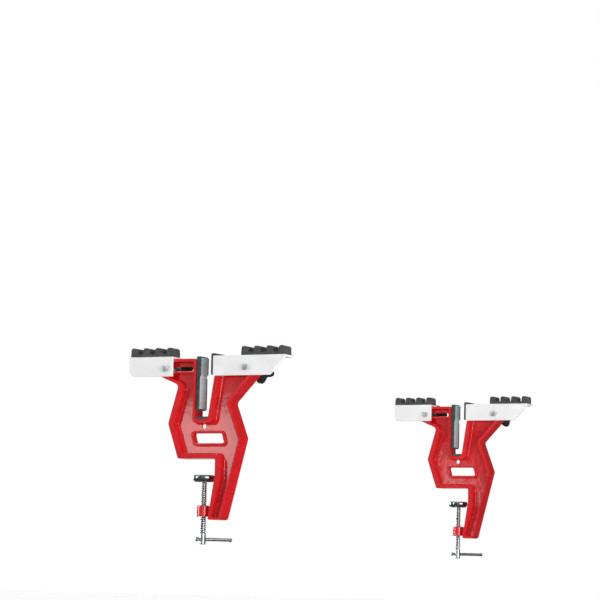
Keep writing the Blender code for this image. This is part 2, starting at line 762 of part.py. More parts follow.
def knob_outline(radius_scale):
    """The lobed outline, with radius following a cosine between the lobes and the valleys."""
    points = []
    mean = (KNOB_RADIUS + KNOB_VALLEY) / 2
    swing = (KNOB_RADIUS - KNOB_VALLEY) / 2
    for i in range(KNOB_SIDES):
        angle = 2 * pi * i / KNOB_SIDES
        radius = (mean + swing * cos(KNOB_LOBES * angle)) * radius_scale
        points.append((radius * cos(angle), radius * sin(angle)))
    return points


def knob_mesh():
    """The lobed knob: a round hub facing the frame, a lobed grip and a blind bore with a nut seat."""
    hub = circle(KNOB_HUB_RADIUS, KNOB_SIDES)
    lobe_start = KNOB_HUB_LENGTH
    lobe_end = lobe_start + KNOB_LOBE_LENGTH
    rings = [
        (0, hub),
        (lobe_start, hub),
        (lobe_start + 0.4 * MM, knob_outline(0.9)),
        (lobe_start + 2.5 * MM, knob_outline(1)),
        (lobe_end - 4 * MM, knob_outline(1)),
        (lobe_end - 1.2 * MM, knob_outline(0.93)),
        (lobe_end, knob_outline(0.78)),
    ]
    body = loft("knob", [[(x, y, z) for x, z in ring] for y, ring in rings])
    bore = BOLT_RADIUS + BOLT_HOLE_GAP
    body = cut(body, turned("bore", [(bore, -MM), (bore, KNOB_BORE_DEPTH)], BOLT_SIDES, "Y"))
    seat = hexagon(BOLT_HEAD_FLATS + 2 * FIT_GAP, BOLT_SIDES)
    low = KNOB_NUT_DEPTH - FIT_GAP
    high = KNOB_NUT_DEPTH + KNOB_NUT_HEIGHT + FIT_GAP
    return cut(body, loft("seat", [[(x, y, z) for x, z in seat] for y in (low, high)]))


def knob_nut_mesh():
    """The threaded steel insert that the knob is moulded round."""
    outline = hexagon(BOLT_HEAD_FLATS, BOLT_SIDES)
    low = KNOB_NUT_DEPTH
    high = KNOB_NUT_DEPTH + KNOB_NUT_HEIGHT
    body = loft("nut", [[(x, y, z) for x, z in outline] for y in (low, high)])
    bore = BOLT_RADIUS + BOLT_HOLE_GAP
    return cut(body, turned("bore", [(bore, low - MM), (bore, high + MM)], BOLT_SIDES, "Y"))


def clamp_foot_mesh():
    """The swivel foot with its ball socket, its origin at the ball's centre."""
    top = BALL_DEPTH
    bottom = top - CLAMP_FOOT_HEIGHT
    cavity = BALL_RADIUS + SOCKET_GAP
    mouth = BALL_NECK_RADIUS + SOCKET_MOUTH_GAP
    profile = [
        (mouth * 1.6, bottom),
        (CLAMP_FOOT_SMALL_RADIUS, bottom),
        (CLAMP_FOOT_SMALL_RADIUS + 2.6 * MM, bottom + 2.2 * MM),
        (CLAMP_FOOT_RADIUS, top - CLAMP_FOOT_RIM),
        (CLAMP_FOOT_RADIUS, top - 1 * MM),
        (CLAMP_FOOT_RADIUS - 1 * MM, top),
    ]
    body = turned("clamp_foot", profile, ROUND_SIDES)
    steps = 6
    lip_angle = -acos(mouth / cavity)
    hollow = [(mouth * 1.6, bottom - MM), (mouth * 1.6, bottom)]
    for i in range(steps + 1):
        angle = lip_angle + (pi / 2 * 0.97 - lip_angle) * i / steps
        hollow.append((cavity * cos(angle), cavity * sin(angle)))
    return cut(body, turned("socket", hollow, SMALL_SIDES))


def screw_ball_mesh():
    """The screw's ball tip with a short stub of neck, its origin at the ball's centre."""
    steps = 7
    low = -acos(BALL_NECK_RADIUS / BALL_RADIUS)
    profile = [(BALL_NECK_RADIUS, -BALL_RADIUS)]
    for i in range(steps + 1):
        angle = low + (pi / 2 * 0.96 - low) * i / steps
        profile.append((BALL_RADIUS * cos(angle), BALL_RADIUS * sin(angle)))
    return turned("screw_ball", profile, SMALL_SIDES)


def clamp_screw_mesh():
    """The clamp screw at its thread's full diameter, with its neck and the cross hole for the bar."""
    neck_top = BALL_HEIGHT - BALL_RADIUS - FIT_GAP
    chamfer = 1 * MM
    profile = [
        (SCREW_RADIUS - chamfer, SCREW_END),
        (SCREW_RADIUS, SCREW_END + chamfer),
        (SCREW_RADIUS, SCREW_SHOULDER - chamfer),
        (SCREW_RADIUS - chamfer, SCREW_SHOULDER),
        (BALL_NECK_RADIUS, SCREW_SHOULDER),
        (BALL_NECK_RADIUS, neck_top),
    ]
    body = turned("clamp_screw", profile, SMALL_SIDES)
    radius = TOMMY_RADIUS + TOMMY_GAP
    hole = turned("hole", [(radius, -2 * SCREW_RADIUS), (radius, 2 * SCREW_RADIUS)], 16, "Y")
    hole.transform(Matrix.Rotation(pi / 2, 4, "Z"))
    return moved(cut(body, moved(hole, 0, 0, TOMMY_HEIGHT)), 0, 0, -TOMMY_HEIGHT)


def tommy_bar_mesh():
    """The turning bar along X with swaged ends, its origin where it crosses the screw."""
    half = TOMMY_LENGTH / 2
    swage = half - TOMMY_END_LENGTH
    blend = 0.7 * MM
    profile = [
        (TOMMY_END_RADIUS - blend, -half),
        (TOMMY_END_RADIUS, -half + blend),
        (TOMMY_END_RADIUS, -swage - blend),
        (TOMMY_RADIUS, -swage),
        (TOMMY_RADIUS, swage),
        (TOMMY_END_RADIUS, swage + blend),
        (TOMMY_END_RADIUS, half - blend),
        (TOMMY_END_RADIUS - blend, half),
    ]
    bar = turned("tommy_bar", profile, 16, "Y")
    bar.transform(Matrix.Rotation(-pi / 2, 4, "Z"))
    return moved(bar, TOMMY_SHIFT, 0, 0)


def place(name, mesh, material, parent, location, turn=None):
    """Add one named piece to the scene under a unit's empty."""
    obj = bpy.data.objects.new(name, mesh)
    bpy.context.scene.collection.objects.link(obj)
    if not mesh.materials:
        mesh.materials.append(material)
    mesh.shade_smooth()
    mesh.set_sharp_from_angle(angle=radians(35))
    obj.parent = parent
    obj.location = location
    if turn:
        axis, angle = turn
        setattr(obj.rotation_euler, axis, angle)
    return obj


def make_materials():
    """The finishes, by name."""
    return {
        "red_enamel": make_material("red_enamel", (0.62, 0.012, 0.018), 0.25),
        "white_enamel": make_material("white_enamel", (0.80, 0.80, 0.80), 0.35),
        "black_rubber": make_material("black_rubber", (0.045, 0.052, 0.054), 0.6),
        "grey_rubber": make_material("grey_rubber", (0.35, 0.38, 0.40), 0.7),
        "black_plastic": make_material("black_plastic", (0.02, 0.02, 0.022), 0.4),
        "zinc_plate": make_material("zinc_plate", (0.62, 0.66, 0.68), 0.3, 1.0),
        "dark_chrome": make_material("dark_chrome", (0.16, 0.19, 0.19), 0.15, 1.0),
    }


def make_meshes():
    """Each piece's mesh, made once and shared by the two units."""
    return {
        "frame": frame_mesh(),
        "slot_liner": slot_liner_mesh(),
        "jaw_backing": jaw_backing_mesh(),
        "jaw_pad": jaw_pad_mesh(),
        "short_arm": short_arm_mesh(),
        "long_arm": long_arm_mesh(),
        "pad": pad_mesh(),
        "nose": nose_mesh(),
        "bolt": bolt_mesh(),
        "washer": ring_mesh("washer", WASHER_RADIUS, WASHER_THICKNESS),
        "sleeve": ring_mesh("sleeve", SLEEVE_RADIUS, SLEEVE_LENGTH),
        "knob": knob_mesh(),
        "knob_nut": knob_nut_mesh(),
        "clamp_foot": clamp_foot_mesh(),
        "screw_ball": screw_ball_mesh(),
        "clamp_screw": clamp_screw_mesh(),
        "tommy_bar": tommy_bar_mesh(),
    }


def build_arm(prefix, side, bolt_x, pad_x, knob_angle, meshes, materials, unit):
    """One arm with its pad, bolt, sleeve stack and knob."""
    name = f"{prefix}_{side}_arm"
    axis = (bolt_x, 0, ADJUST_HEIGHT)
    place(name, meshes[f"{side}_arm"], materials["white_enamel"], unit, axis)
    pad_front = ARM_FRONT + EDGE_BREAK / 2
    pad_spot = (pad_x, pad_front, ARM_TOP + FIT_GAP)
    place(f"{name}_pad", meshes["pad"], materials["black_rubber"], unit, pad_spot)
    stack = (
        ("bolt", "bolt", "zinc_plate", ARM_FRONT - FIT_GAP, 0.0),
        ("web_washer", "washer", "zinc_plate", WEB_WASHER_Y, 0.0),
        ("sleeve", "sleeve", "zinc_plate", SLEEVE_Y, 0.0),
        ("knob_washer", "washer", "zinc_plate", KNOB_WASHER_Y, 0.0),
        ("knob", "knob", "black_plastic", KNOB_Y, knob_angle),
        ("knob_nut", "knob_nut", "zinc_plate", KNOB_Y, knob_angle),
    )
    for piece, mesh, material, y, angle in stack:
        spot = (bolt_x, y, ADJUST_HEIGHT)
        place(f"{name}_{piece}", meshes[mesh], materials[material], unit, spot, ("y", angle))


def build_unit(prefix, y, bar_angle, short_knob_angle, long_knob_angle, meshes, materials):
    """One whole vise under its own empty."""
    unit = bpy.data.objects.new(f"{prefix}_vise", None)
    bpy.context.scene.collection.objects.link(unit)
    unit.location = (0, y, 0)

    fixed = (
        ("frame", "red_enamel"),
        ("slot_liner", "black_rubber"),
        ("jaw_backing", "black_rubber"),
        ("jaw_pad", "grey_rubber"),
    )
    for piece, material in fixed:
        place(f"{prefix}_{piece}", meshes[piece], materials[material], unit, (0, 0, 0))

    short_pad_x = -SHORT_ARM_INNER - PAD_LENGTH
    long_pad_x = LONG_ARM_INNER + LONG_ARM_LENGTH - LONG_PAD_END - PAD_LENGTH
    build_arm(prefix, "short", SHORT_BOLT_X, short_pad_x, short_knob_angle, meshes, materials, unit)
    build_arm(prefix, "long", LONG_BOLT_X, long_pad_x, long_knob_angle, meshes, materials, unit)
    nose_spot = (LONG_BOLT_X, 0, ADJUST_HEIGHT)
    place(f"{prefix}_long_arm_nose", meshes["nose"], materials["black_rubber"], unit, nose_spot)

    ball = (0, 0, BALL_HEIGHT)
    bar = (0, 0, TOMMY_HEIGHT)
    place(f"{prefix}_clamp_foot", meshes["clamp_foot"], materials["dark_chrome"], unit, ball)
    place(f"{prefix}_screw_ball", meshes["screw_ball"], materials["zinc_plate"], unit, ball)
    turn = ("z", bar_angle)
    place(f"{prefix}_clamp_screw", meshes["clamp_screw"], materials["zinc_plate"], unit, bar, turn)
    place(f"{prefix}_tommy_bar", meshes["tommy_bar"], materials["zinc_plate"], unit, bar, turn)


def main():
    """Build both units."""
    clear_scene()
    materials = make_materials()
    meshes = make_meshes()
    for name, y, bar_angle, short_knob_angle, long_knob_angle in UNITS:
        build_unit(name, y, bar_angle, short_knob_angle, long_knob_angle, meshes, materials)
    bpy.context.view_layer.update()
    for mesh in [mesh for mesh in bpy.data.meshes if not mesh.users]:
        bpy.data.meshes.remove(mesh)
    pieces = [obj for obj in bpy.data.objects if obj.type == "MESH"]
    print(f"built {len(pieces)} pieces")


main()
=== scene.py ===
# %% [markdown]
# # A vise set for winter sports gear
# The set is two alike vises. Each one is a red iron casting with a clamp screw at its foot, two padded
# arms on top, and between them a padded slot that holds a ski on edge.
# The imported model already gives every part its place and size. This script gives the parts the rounded
# edges, screw thread and finishes that the real ones have.

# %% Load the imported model
import math

import bmesh
import bpy
from mathutils import Matrix, Vector


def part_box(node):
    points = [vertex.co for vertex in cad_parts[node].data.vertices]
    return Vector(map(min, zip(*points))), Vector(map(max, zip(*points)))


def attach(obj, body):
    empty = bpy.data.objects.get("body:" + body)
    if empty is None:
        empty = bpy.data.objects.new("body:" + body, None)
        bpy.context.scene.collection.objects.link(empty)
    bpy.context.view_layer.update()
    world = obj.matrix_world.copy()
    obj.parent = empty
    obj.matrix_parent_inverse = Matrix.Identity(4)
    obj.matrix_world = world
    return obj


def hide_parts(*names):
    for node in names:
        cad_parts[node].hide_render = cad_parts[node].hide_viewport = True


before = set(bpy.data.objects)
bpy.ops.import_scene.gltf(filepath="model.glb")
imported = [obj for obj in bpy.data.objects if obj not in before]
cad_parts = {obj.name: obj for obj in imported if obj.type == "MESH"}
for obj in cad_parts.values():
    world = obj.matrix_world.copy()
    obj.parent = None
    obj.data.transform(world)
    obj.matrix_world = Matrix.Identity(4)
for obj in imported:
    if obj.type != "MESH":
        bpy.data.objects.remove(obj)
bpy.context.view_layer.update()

MM = 0.001
VISES = {"near": 0.0, "far": 1070.0}  # where each one stands along Y, in millimetres
scene = bpy.context.scene

# %% [markdown]
# ## The camera
# The photograph was taken with a long lens from low down, so the vises look upright and almost without
# perspective. A long lens is copied by a narrow field of view and a far camera.
# Its place was solved beforehand from corners of the castings whose sizes are known.

# %% Camera
CAMERA_PLACE = (2.01994, -3.73988, -0.21116)
YAW, PITCH, ROLL = 0.459945, -0.111539, 0.0225518
LENS_MM, SENSOR_MM = 156.0103, 36

level = math.cos(PITCH)
back = Vector((math.sin(YAW) * level, -math.cos(YAW) * level, math.sin(PITCH)))
right = Vector((math.cos(YAW), math.sin(YAW), 0))
up = back.cross(right)
turned_right = right * math.cos(ROLL) + up * math.sin(ROLL)
turned_up = up * math.cos(ROLL) - right * math.sin(ROLL)
axes = Matrix((turned_right, turned_up, back)).transposed()

lens = bpy.data.cameras.new("camera")
lens.lens = LENS_MM
lens.sensor_width = SENSOR_MM
camera = bpy.data.objects.new("camera", lens)
camera.matrix_world = Matrix.Translation(CAMERA_PLACE) @ axes.to_4x4()
scene.collection.objects.link(camera)
scene.camera = camera
print("camera at", tuple(camera.location), "with a lens of", lens.lens, "mm")

# %% [markdown]
# ## A small set of shop tools
# Nearly every part here is a flat outline with thickness, or a turned part. Two helpers cover them.
# `outline_solid` makes a face from the corners of the outline, extrudes it, and then bevels each corner
# edge to its own radius. `turned_solid` spins a profile round an axis.
# The bevel's offset is measured along the sides, so it comes from the radius and the corner's turn.
# Sizes are in millimetres and angles in degrees, and the helpers turn them into Blender's own units.

# %% Outline and bevel helpers
NEAR, WELD = 1e-5, 1e-6  # metres: a coarse and a fine distance at which two places are the same


def edges_where(bm, test):
    """The edges whose ends both pass a test of their place."""
    return [e for e in bm.edges if all(test(v.co) for v in e.verts)]


def sharp_edges(bm, least):
    """The edges whose two faces turn by more than an angle."""
    return [e for e in bm.edges if len(e.link_faces) == 2 and e.calc_face_angle() > math.radians(least)]


def round_edges(bm, edges, offset, segments=4):
    """Rounds edges by a bevel."""
    bmesh.ops.bevel(bm, geom=list(edges), offset=offset * MM, offset_type="OFFSET", segments=segments,
                    profile=0.5, affect="EDGES", material=-1, clamp_overlap=True)


def inset(bm, faces, width, depth=0.0):
    """Insets faces as one region and moves them along their normals."""
    bmesh.ops.inset_region(bm, faces=faces, thickness=width * MM, depth=depth * MM,
                           use_even_offset=True, use_boundary=True)


def turn_all(bm, angle, axis):
    """Turns a whole bmesh about an axis through the origin."""
    turning = Matrix.Rotation(math.radians(angle), 3, axis)
    bmesh.ops.rotate(bm, cent=(0, 0, 0), matrix=turning, verts=bm.verts)


def corner_offset(corners, index):
    """How far a corner is cut back along its sides to get its radius."""
    here = Vector(corners[index][:2])
    before = Vector(corners[index - 1][:2]) - here
    after = Vector(corners[(index + 1) % len(corners)][:2]) - here
    return corners[index][2] * math.tan((math.pi - before.angle(after)) / 2)


def box_outline(left, right, low, high, radius=0):
    """The (x, z, radius) corners of a rectangle."""
    return [(left, low, radius), (right, low, radius), (right, high, radius), (left, high, radius)]


def extrude(bm, faces, *way):
    """Extrudes faces by some millimetres along X, Y and Z and turns all faces outward."""
    run = bmesh.ops.extrude_face_region(bm, geom=faces)
    moved = [item for item in run["geom"] if isinstance(item, bmesh.types.BMVert)]
    bmesh.ops.translate(bm, vec=[part * MM for part in way], verts=moved)
    bmesh.ops.recalc_face_normals(bm, faces=bm.faces)


def flat_prism(corners, low, high):
    """An outline of (x, z, radius) corners, extruded along Y with the corners still sharp."""
    bm = bmesh.new()
    face = bm.faces.new([bm.verts.new((x * MM, low * MM, z * MM)) for x, z, _ in corners])
    extrude(bm, [face], 0, high - low, 0)
    return bm


def round_corners(bm, corners, segments=6):
    """Bevels the edges that run along Y at each corner of the outline, each to its own radius."""
    for index, (x, z, radius) in enumerate(corners):
        if radius:
            spot = Vector((x * MM, z * MM))
            edges = edges_where(bm, lambda place: (place.xz - spot).length < NEAR)
            round_edges(bm, edges, corner_offset(corners, index), segments)


def end_edges(bm, *heights):
    """The edges round the flat faces that lie at some heights along Y."""
    found = []
    for height in heights:
        for edge in edges_where(bm, lambda place: abs(place.y - height * MM) < WELD):
            facing = [abs(face.normal.y) for face in edge.link_faces]
            if len(facing) == 2 and abs(facing[0] - facing[1]) > 0.5:
                found.append(edge)
    return found


def outline_solid(corners, low, high, edge=0.0, segments=6):
    """A flat part: outline, thickness, corner radii and a small rounding round both faces."""
    bm = flat_prism(corners, low, high)
    round_corners(bm, corners, segments)
    if edge:
        round_edges(bm, end_edges(bm, low, high), edge, 3)
    return bm


print("outline helpers are ready")

# %% [markdown]
# A turned part is made as on a lathe: half of its section is drawn once and spun a full turn.
# The profile is a closed loop for a ring, or starts and ends on the axis for a solid part. The doubled
# seam is merged, and the normals are recalculated, because spinning may turn the surface inside out.

# %% Turning, joining and cutting helpers
def turned_solid(profile, steps, edge=0.0, closed=False):
    """Spins (radius, height) points round Z."""
    bm = bmesh.new()
    verts = [bm.verts.new((radius * MM, 0, height * MM)) for radius, height in profile]
    edges = [bm.edges.new(pair) for pair in zip(verts, verts[1:])]
    if closed:
        edges.append(bm.edges.new((verts[-1], verts[0])))
    bmesh.ops.spin(bm, geom=verts + edges, cent=(0, 0, 0), axis=(0, 0, 1), dvec=(0, 0, 0),
                   angle=2 * math.pi, steps=steps, use_merge=True)
    bmesh.ops.remove_doubles(bm, verts=bm.verts, dist=WELD)
    bmesh.ops.recalc_face_normals(bm, faces=bm.faces)
    if edge:
        round_edges(bm, sharp_edges(bm, 25), edge, 3)
    return bm


def plain_profile(inner, outer, low, high):
    """Half the section of a plain ring, or of a plain rod when the inner radius is zero."""
    return [(inner, low), (outer, low), (outer, high), (inner, high)]


def as_mesh(bm, name):
    """Moves a bmesh into a new mesh."""
    mesh = bpy.data.meshes.new(name)
    bm.to_mesh(mesh)
    bm.free()
    return mesh


def put_together(first, *others):
    """Joins several bmeshes into the first one."""
    for part in others:
        mesh = as_mesh(part, "joining")
        first.from_mesh(mesh)
        bpy.data.meshes.remove(mesh)
    return first


def cut_away(bm, cutter):
    """Takes one closed solid away from another with a Boolean modifier."""
    body, tool = (bpy.data.objects.new("cutting", as_mesh(part, "cutting")) for part in (bm, cutter))
    scene.collection.objects.link(body)
    scene.collection.objects.link(tool)
    modifier = body.modifiers.new("cut", "BOOLEAN")
    modifier.operation = "DIFFERENCE"
    modifier.object = tool
    bpy.context.view_layer.update()
    graph = bpy.context.evaluated_depsgraph_get()
    result = bpy.data.meshes.new_from_object(body.evaluated_get(graph))
    fresh = bmesh.new()
    fresh.from_mesh(result)
    bpy.data.meshes.remove(result)
    for holder in (body, tool):
        mesh = holder.data
        bpy.data.objects.remove(holder)
        bpy.data.meshes.remove(mesh)
    return fresh


print("turning helpers are ready")

# %% [markdown]
# Every finished part is added to both vises. Its place goes into the mesh, so the object itself stays at
# the origin and a pattern on Object coordinates can't slide. A Weighted Normal modifier lets the large
# flat faces decide the shading at the roundings, which keeps them flat to the eye.

# %% Adding a part to a vise
def add_part(name, bm, vise, body, material, nodes,
             turn=None, place=(0, 0, 0), angle=35, second=None):
    """Makes an object of a copy of the bmesh, on one vise, in place of the CAD nodes."""
    mesh = bpy.data.meshes.new(f"{vise}_{name}_look")
    bm.to_mesh(mesh)
    if turn:
        mesh.transform(Matrix.Rotation(math.radians(turn[1]), 4, turn[0]))
    mesh.transform(Matrix.Translation(Vector(place) * MM + Vector((0, VISES[vise] * MM, 0))))
    mesh.materials.append(material)
    if second:
        mesh.materials.append(second)
    mesh.shade_smooth()
    mesh.set_sharp_from_angle(angle=math.radians(angle))
    part = bpy.data.objects.new(f"{vise}_{name}_look", mesh)
    scene.collection.objects.link(part)
    weighted = part.modifiers.new("weighted normals", "WEIGHTED_NORMAL")
    weighted.keep_sharp = True
    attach(part, body)
    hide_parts(*[f"{vise}_{node}" for node in nodes])
    return part


print("parts go on", ", ".join(VISES))

# %% [markdown]
# ## Finishes
# Each finish is a small node graph on Object coordinates, which are in metres here. `add_node` makes a
# node and feeds its inputs. `finish` starts a material with a Principled shader and the coordinates,
# `noise` adds a noise of a given grain size in millimetres, and `dress` links patterns to the shader.
# Constants go straight on the shader's sockets, and only what changes over the surface is linked.

# %% Finish helpers
def feed(tree, socket, value):
    """Links an input to another node's output, or gives it a plain value."""
    if isinstance(value, bpy.types.NodeSocket):
        tree.links.new(value, socket)
    else:
        socket.default_value = value


def add_node(tree, kind, **inputs):
    """A new node with its named inputs fed."""
    node = tree.nodes.new("ShaderNode" + kind)
    for name, value in inputs.items():
        feed(tree, node.inputs[name.replace("_", " ")], value)
    return node


def finish(name, roughness, metallic=0.0, **inputs):
    """A material with a Principled shader and Object coordinates, ready for patterns."""
    material = bpy.data.materials.new(name)
    material.use_nodes = True
    tree = material.node_tree
    shader = tree.nodes["Principled BSDF"]
    shader.inputs["Roughness"].default_value = roughness
    shader.inputs["Metallic"].default_value = metallic
    for socket, value in inputs.items():
        shader.inputs[socket.replace("_", " ")].default_value = value
    return material, tree, shader, add_node(tree, "TexCoord").outputs["Object"]


def dress(tree, shader, colour, roughness, normal):
    """Links the patterns of colour, roughness and bump to the shader."""
    tree.links.new(colour, shader.inputs["Base Color"])
    tree.links.new(roughness, shader.inputs["Roughness"])
    tree.links.new(normal, shader.inputs["Normal"])


def stretched(tree, coordinates, scale):
    """Coordinates scaled by a different amount along each axis."""
    return add_node(tree, "Mapping", Scale=scale, Vector=coordinates).outputs["Vector"]


def noise(tree, coordinates, grain, detail=2.0, roughness=0.5):
    """A noise whose blobs are about grain millimetres across."""
    return add_node(tree, "TexNoise", Scale=1000 / grain, Detail=detail, Roughness=roughness,
                    Vector=coordinates).outputs["Fac"]


def colours(tree, value, stops):
    """A colour ramp from (position, colour) stops."""
    ramp = add_node(tree, "ValToRGB", Fac=value)
    elements = ramp.color_ramp.elements
    for element, (position, colour) in zip(elements, (stops[0], stops[-1])):
        element.position, element.color = position, (*colour, 1)
    for position, colour in stops[1:-1]:
        elements.new(position).color = (*colour, 1)
    return ramp.outputs["Color"]


def mixed(tree, factor, first, second):
    """Mixes two colours; each one is a socket or four numbers."""
    node = add_node(tree, "Mix")
    node.data_type = "RGBA"
    for name, value in (("Factor", factor), ("A", first), ("B", second)):
        feed(tree, node.inputs[name], value)
    return node.outputs["Result"]


def maths(tree, operation, first, second):
    """One Math node; each input is a socket or a number."""
    node = add_node(tree, "Math")
    node.operation = operation
    feed(tree, node.inputs[0], first)
    feed(tree, node.inputs[1], second)
    return node.outputs["Value"]


def spread(tree, value, low, high, start=0.3, end=0.7, kind="LINEAR"):
    """Maps the values from start to end, by default the middle of a noise, to a range."""
    node = add_node(tree, "MapRange", Value=value, From_Min=start, From_Max=end, To_Min=low, To_Max=high)
    node.interpolation_type = kind
    return node.outputs["Result"]


def pointed(tree, high, start, end):
    """Rises from 0 to high with the Pointiness, which is 0.5 where flat and more on raised edges."""
    return spread(tree, add_node(tree, "NewGeometry").outputs["Pointiness"], 0.0, high, start, end)


def bumps(tree, value, depth, below=None):
    """A bump of a height in millimetres, laid over another bump."""
    node = add_node(tree, "Bump", Strength=1.0, Distance=depth * MM, Height=value)
    if below:
        feed(tree, node.inputs["Normal"], below)
    return node.outputs["Normal"]


print("finish helpers are ready")

# %% [markdown]
# ** Red enamel.** The castings are sprayed with a thick gloss enamel over a sand-cast skin. The paint
# flows a little before it sets, so it has long soft waves, called orange peel, and the finest grain of
# the casting is filled. A slightly paler red is painted on the raised edges, found by the Pointiness of
# the surface: a painted highlight. The thin web has shrunk a little out of flat as it cooled, and its
# gloss shows that at once, so the web's enamel gets one very shallow bump over its whole face.

# %% Red enamel
# a paler red painted on the raised edges: a painted highlight
EDGE_HIGHLIGHT_RED = (0.80, 0.03, 0.04, 1)


def red_enamel(name, coat_roughness, coat_ior, lean=0.0, bow=0.0, sag=0.0):
    """Gloss red enamel; lean, bow and sag are how far a surface is out of flat."""
    material, tree, shader, spot = finish(name, 0.3, Coat_Weight=1.0, Coat_Roughness=coat_roughness,
                                          Coat_IOR=coat_ior, Specular_IOR_Level=0.2)
    tint = colours(tree, noise(tree, spot, 30, 3), [
        (0.30, (0.60, 0.003, 0.007)),
        (0.55, (0.66, 0.004, 0.009)),
        (0.75, (0.71, 0.006, 0.012)),
    ])
    # painted highlight: paler red where the Pointiness shows a raised edge
    tint = mixed(tree, pointed(tree, 0.3, 0.52, 0.60), tint, EDGE_HIGHLIGHT_RED)
    below = out_of_flat(tree, spot, lean, bow, sag) if lean or bow or sag else None
    waves = bumps(tree, noise(tree, spot, 11, 1), 0.10, below)
    skin = bumps(tree, noise(tree, spot, 1.6, 3), 0.010, waves)
    dress(tree, shader, tint, spread(tree, noise(tree, spot, 14, 3), 0.16, 0.32), skin)
    tree.links.new(waves, shader.inputs["Coat Normal"])
    return material


def out_of_flat(tree, spot, lean, bow, sag):
    """A very shallow bump over a whole face: it leans and bows along its height, and sags in patches."""
    height = add_node(tree, "SeparateXYZ", Vector=spot).outputs["Z"]
    leaning = maths(tree, "MULTIPLY", height, lean)
    bowed = maths(tree, "MULTIPLY", maths(tree, "MULTIPLY", height, height), bow)
    patches = maths(tree, "MULTIPLY", noise(tree, spot, 75, 1), sag * MM)
    metres = maths(tree, "ADD", maths(tree, "ADD", leaning, bowed), patches)
    return bumps(tree, metres, 1 / MM)


red = red_enamel("red_enamel", 0.08, 1.7)
web_red = red_enamel("red_enamel_web", 0.07, 1.8, lean=-0.161, bow=0.419, sag=0.6)
print("made", red.name, "and", web_red.name)

# %% [markdown]
# **White enamel.** The arms are powder coated. Powder melts into a skin with a fine, even pebble, so
# its highlights are soft. A trace of grey dust sits in broad patches.

# %% White enamel
white, tree, shader, spot = finish("white_enamel", 0.34, Specular_IOR_Level=0.45)
tint = colours(tree, noise(tree, spot, 24, 4), [
    (0.30, (0.84, 0.84, 0.85)),
    (0.50, (0.87, 0.87, 0.875)),
    (0.70, (0.90, 0.90, 0.905)),
])
pebble = bumps(tree, noise(tree, spot, 1.3, 2), 0.02)
dress(tree, shader, tint, spread(tree, noise(tree, spot, 6, 3), 0.28, 0.42),
      bumps(tree, noise(tree, spot, 9, 1), 0.04, pebble))
print("made", white.name, "with", len(tree.nodes), "nodes")

# %% [markdown]
# **Black rubber.** The pads are moulded rubber. New rubber is never pure black: a dry bloom greys it in
# patches, and its skin is matt with a very fine grain. A little sheen gives the soft light rim.

# %% Black rubber
rubber, tree, shader, spot = finish("black_rubber", 0.6, Specular_IOR_Level=0.4,
                                    Sheen_Weight=0.15, Sheen_Roughness=0.6)
tint = colours(tree, noise(tree, spot, 8, 5, 0.6), [
    (0.30, (0.030, 0.035, 0.036)),
    (0.52, (0.042, 0.048, 0.050)),
    (0.75, (0.070, 0.077, 0.080)),
])
dress(tree, shader, tint, spread(tree, noise(tree, spot, 3, 3), 0.50, 0.70),
      bumps(tree, noise(tree, spot, 0.7, 3), 0.02))
print("made", rubber.name, "with", len(tree.nodes), "nodes")

# %% [markdown]
# **Grey friction rubber.** The ski jaw's pad is a cork-like granulate pressed in a sheet, so it is
# speckled. A Voronoi pattern gives each grain its own shade and its own low bump.

# %% Grey friction rubber
GRAIN = 1.1

grey, tree, shader, spot = finish("grey_rubber", 0.8, Specular_IOR_Level=0.3)
grains = add_node(tree, "TexVoronoi", Scale=1000 / GRAIN, Vector=spot)
shade = add_node(tree, "SeparateColor", Color=grains.outputs["Color"])
tint = colours(tree, shade.outputs["Red"], [
    (0.05, (0.38, 0.47, 0.50)),
    (0.50, (0.51, 0.62, 0.65)),
    (0.95, (0.63, 0.74, 0.77)),
])
dress(tree, shader, tint, spread(tree, noise(tree, spot, 4, 3), 0.7, 0.9),
      bumps(tree, grains.outputs["Distance"], 0.06))
print("made", grey.name, "with", len(tree.nodes), "nodes")

# %% [markdown]
# **Black plastic.** The knobs are moulded in a spark-eroded tool, which prints a fine matt grain.

# %% Black plastic
plastic, tree, shader, spot = finish("black_plastic", 0.42, Specular_IOR_Level=0.5)
tint = colours(tree, noise(tree, spot, 12, 3), [
    (0.30, (0.010, 0.010, 0.011)),
    (0.70, (0.022, 0.022, 0.024)),
])
dress(tree, shader, tint, spread(tree, noise(tree, spot, 5, 3), 0.34, 0.50),
      bumps(tree, noise(tree, spot, 0.5, 2), 0.015))
print("made", plastic.name, "with", len(tree.nodes), "nodes")

# %% [markdown]
# **Zinc plate.** Bolts, washers, screw and bar are steel with bright zinc. The plating is a cool grey
# with cloudy patches, and the steel below still shows the fine lines of its turning or rolling.
# The roots of the screw's thread, where the Pointiness is low, are painted darker: painted shade in the
# grooves. The turning bar is drawn steel, and its zinc is duller.

# %% Zinc plate
# the colour of the painted shade in the thread roots
ROOT_SHADE = (0.06, 0.07, 0.075, 1)
ZINC_GREYS = (
    (0.30, (0.40, 0.44, 0.46)),
    (0.50, (0.50, 0.54, 0.56)),
    (0.70, (0.60, 0.63, 0.64)),
)


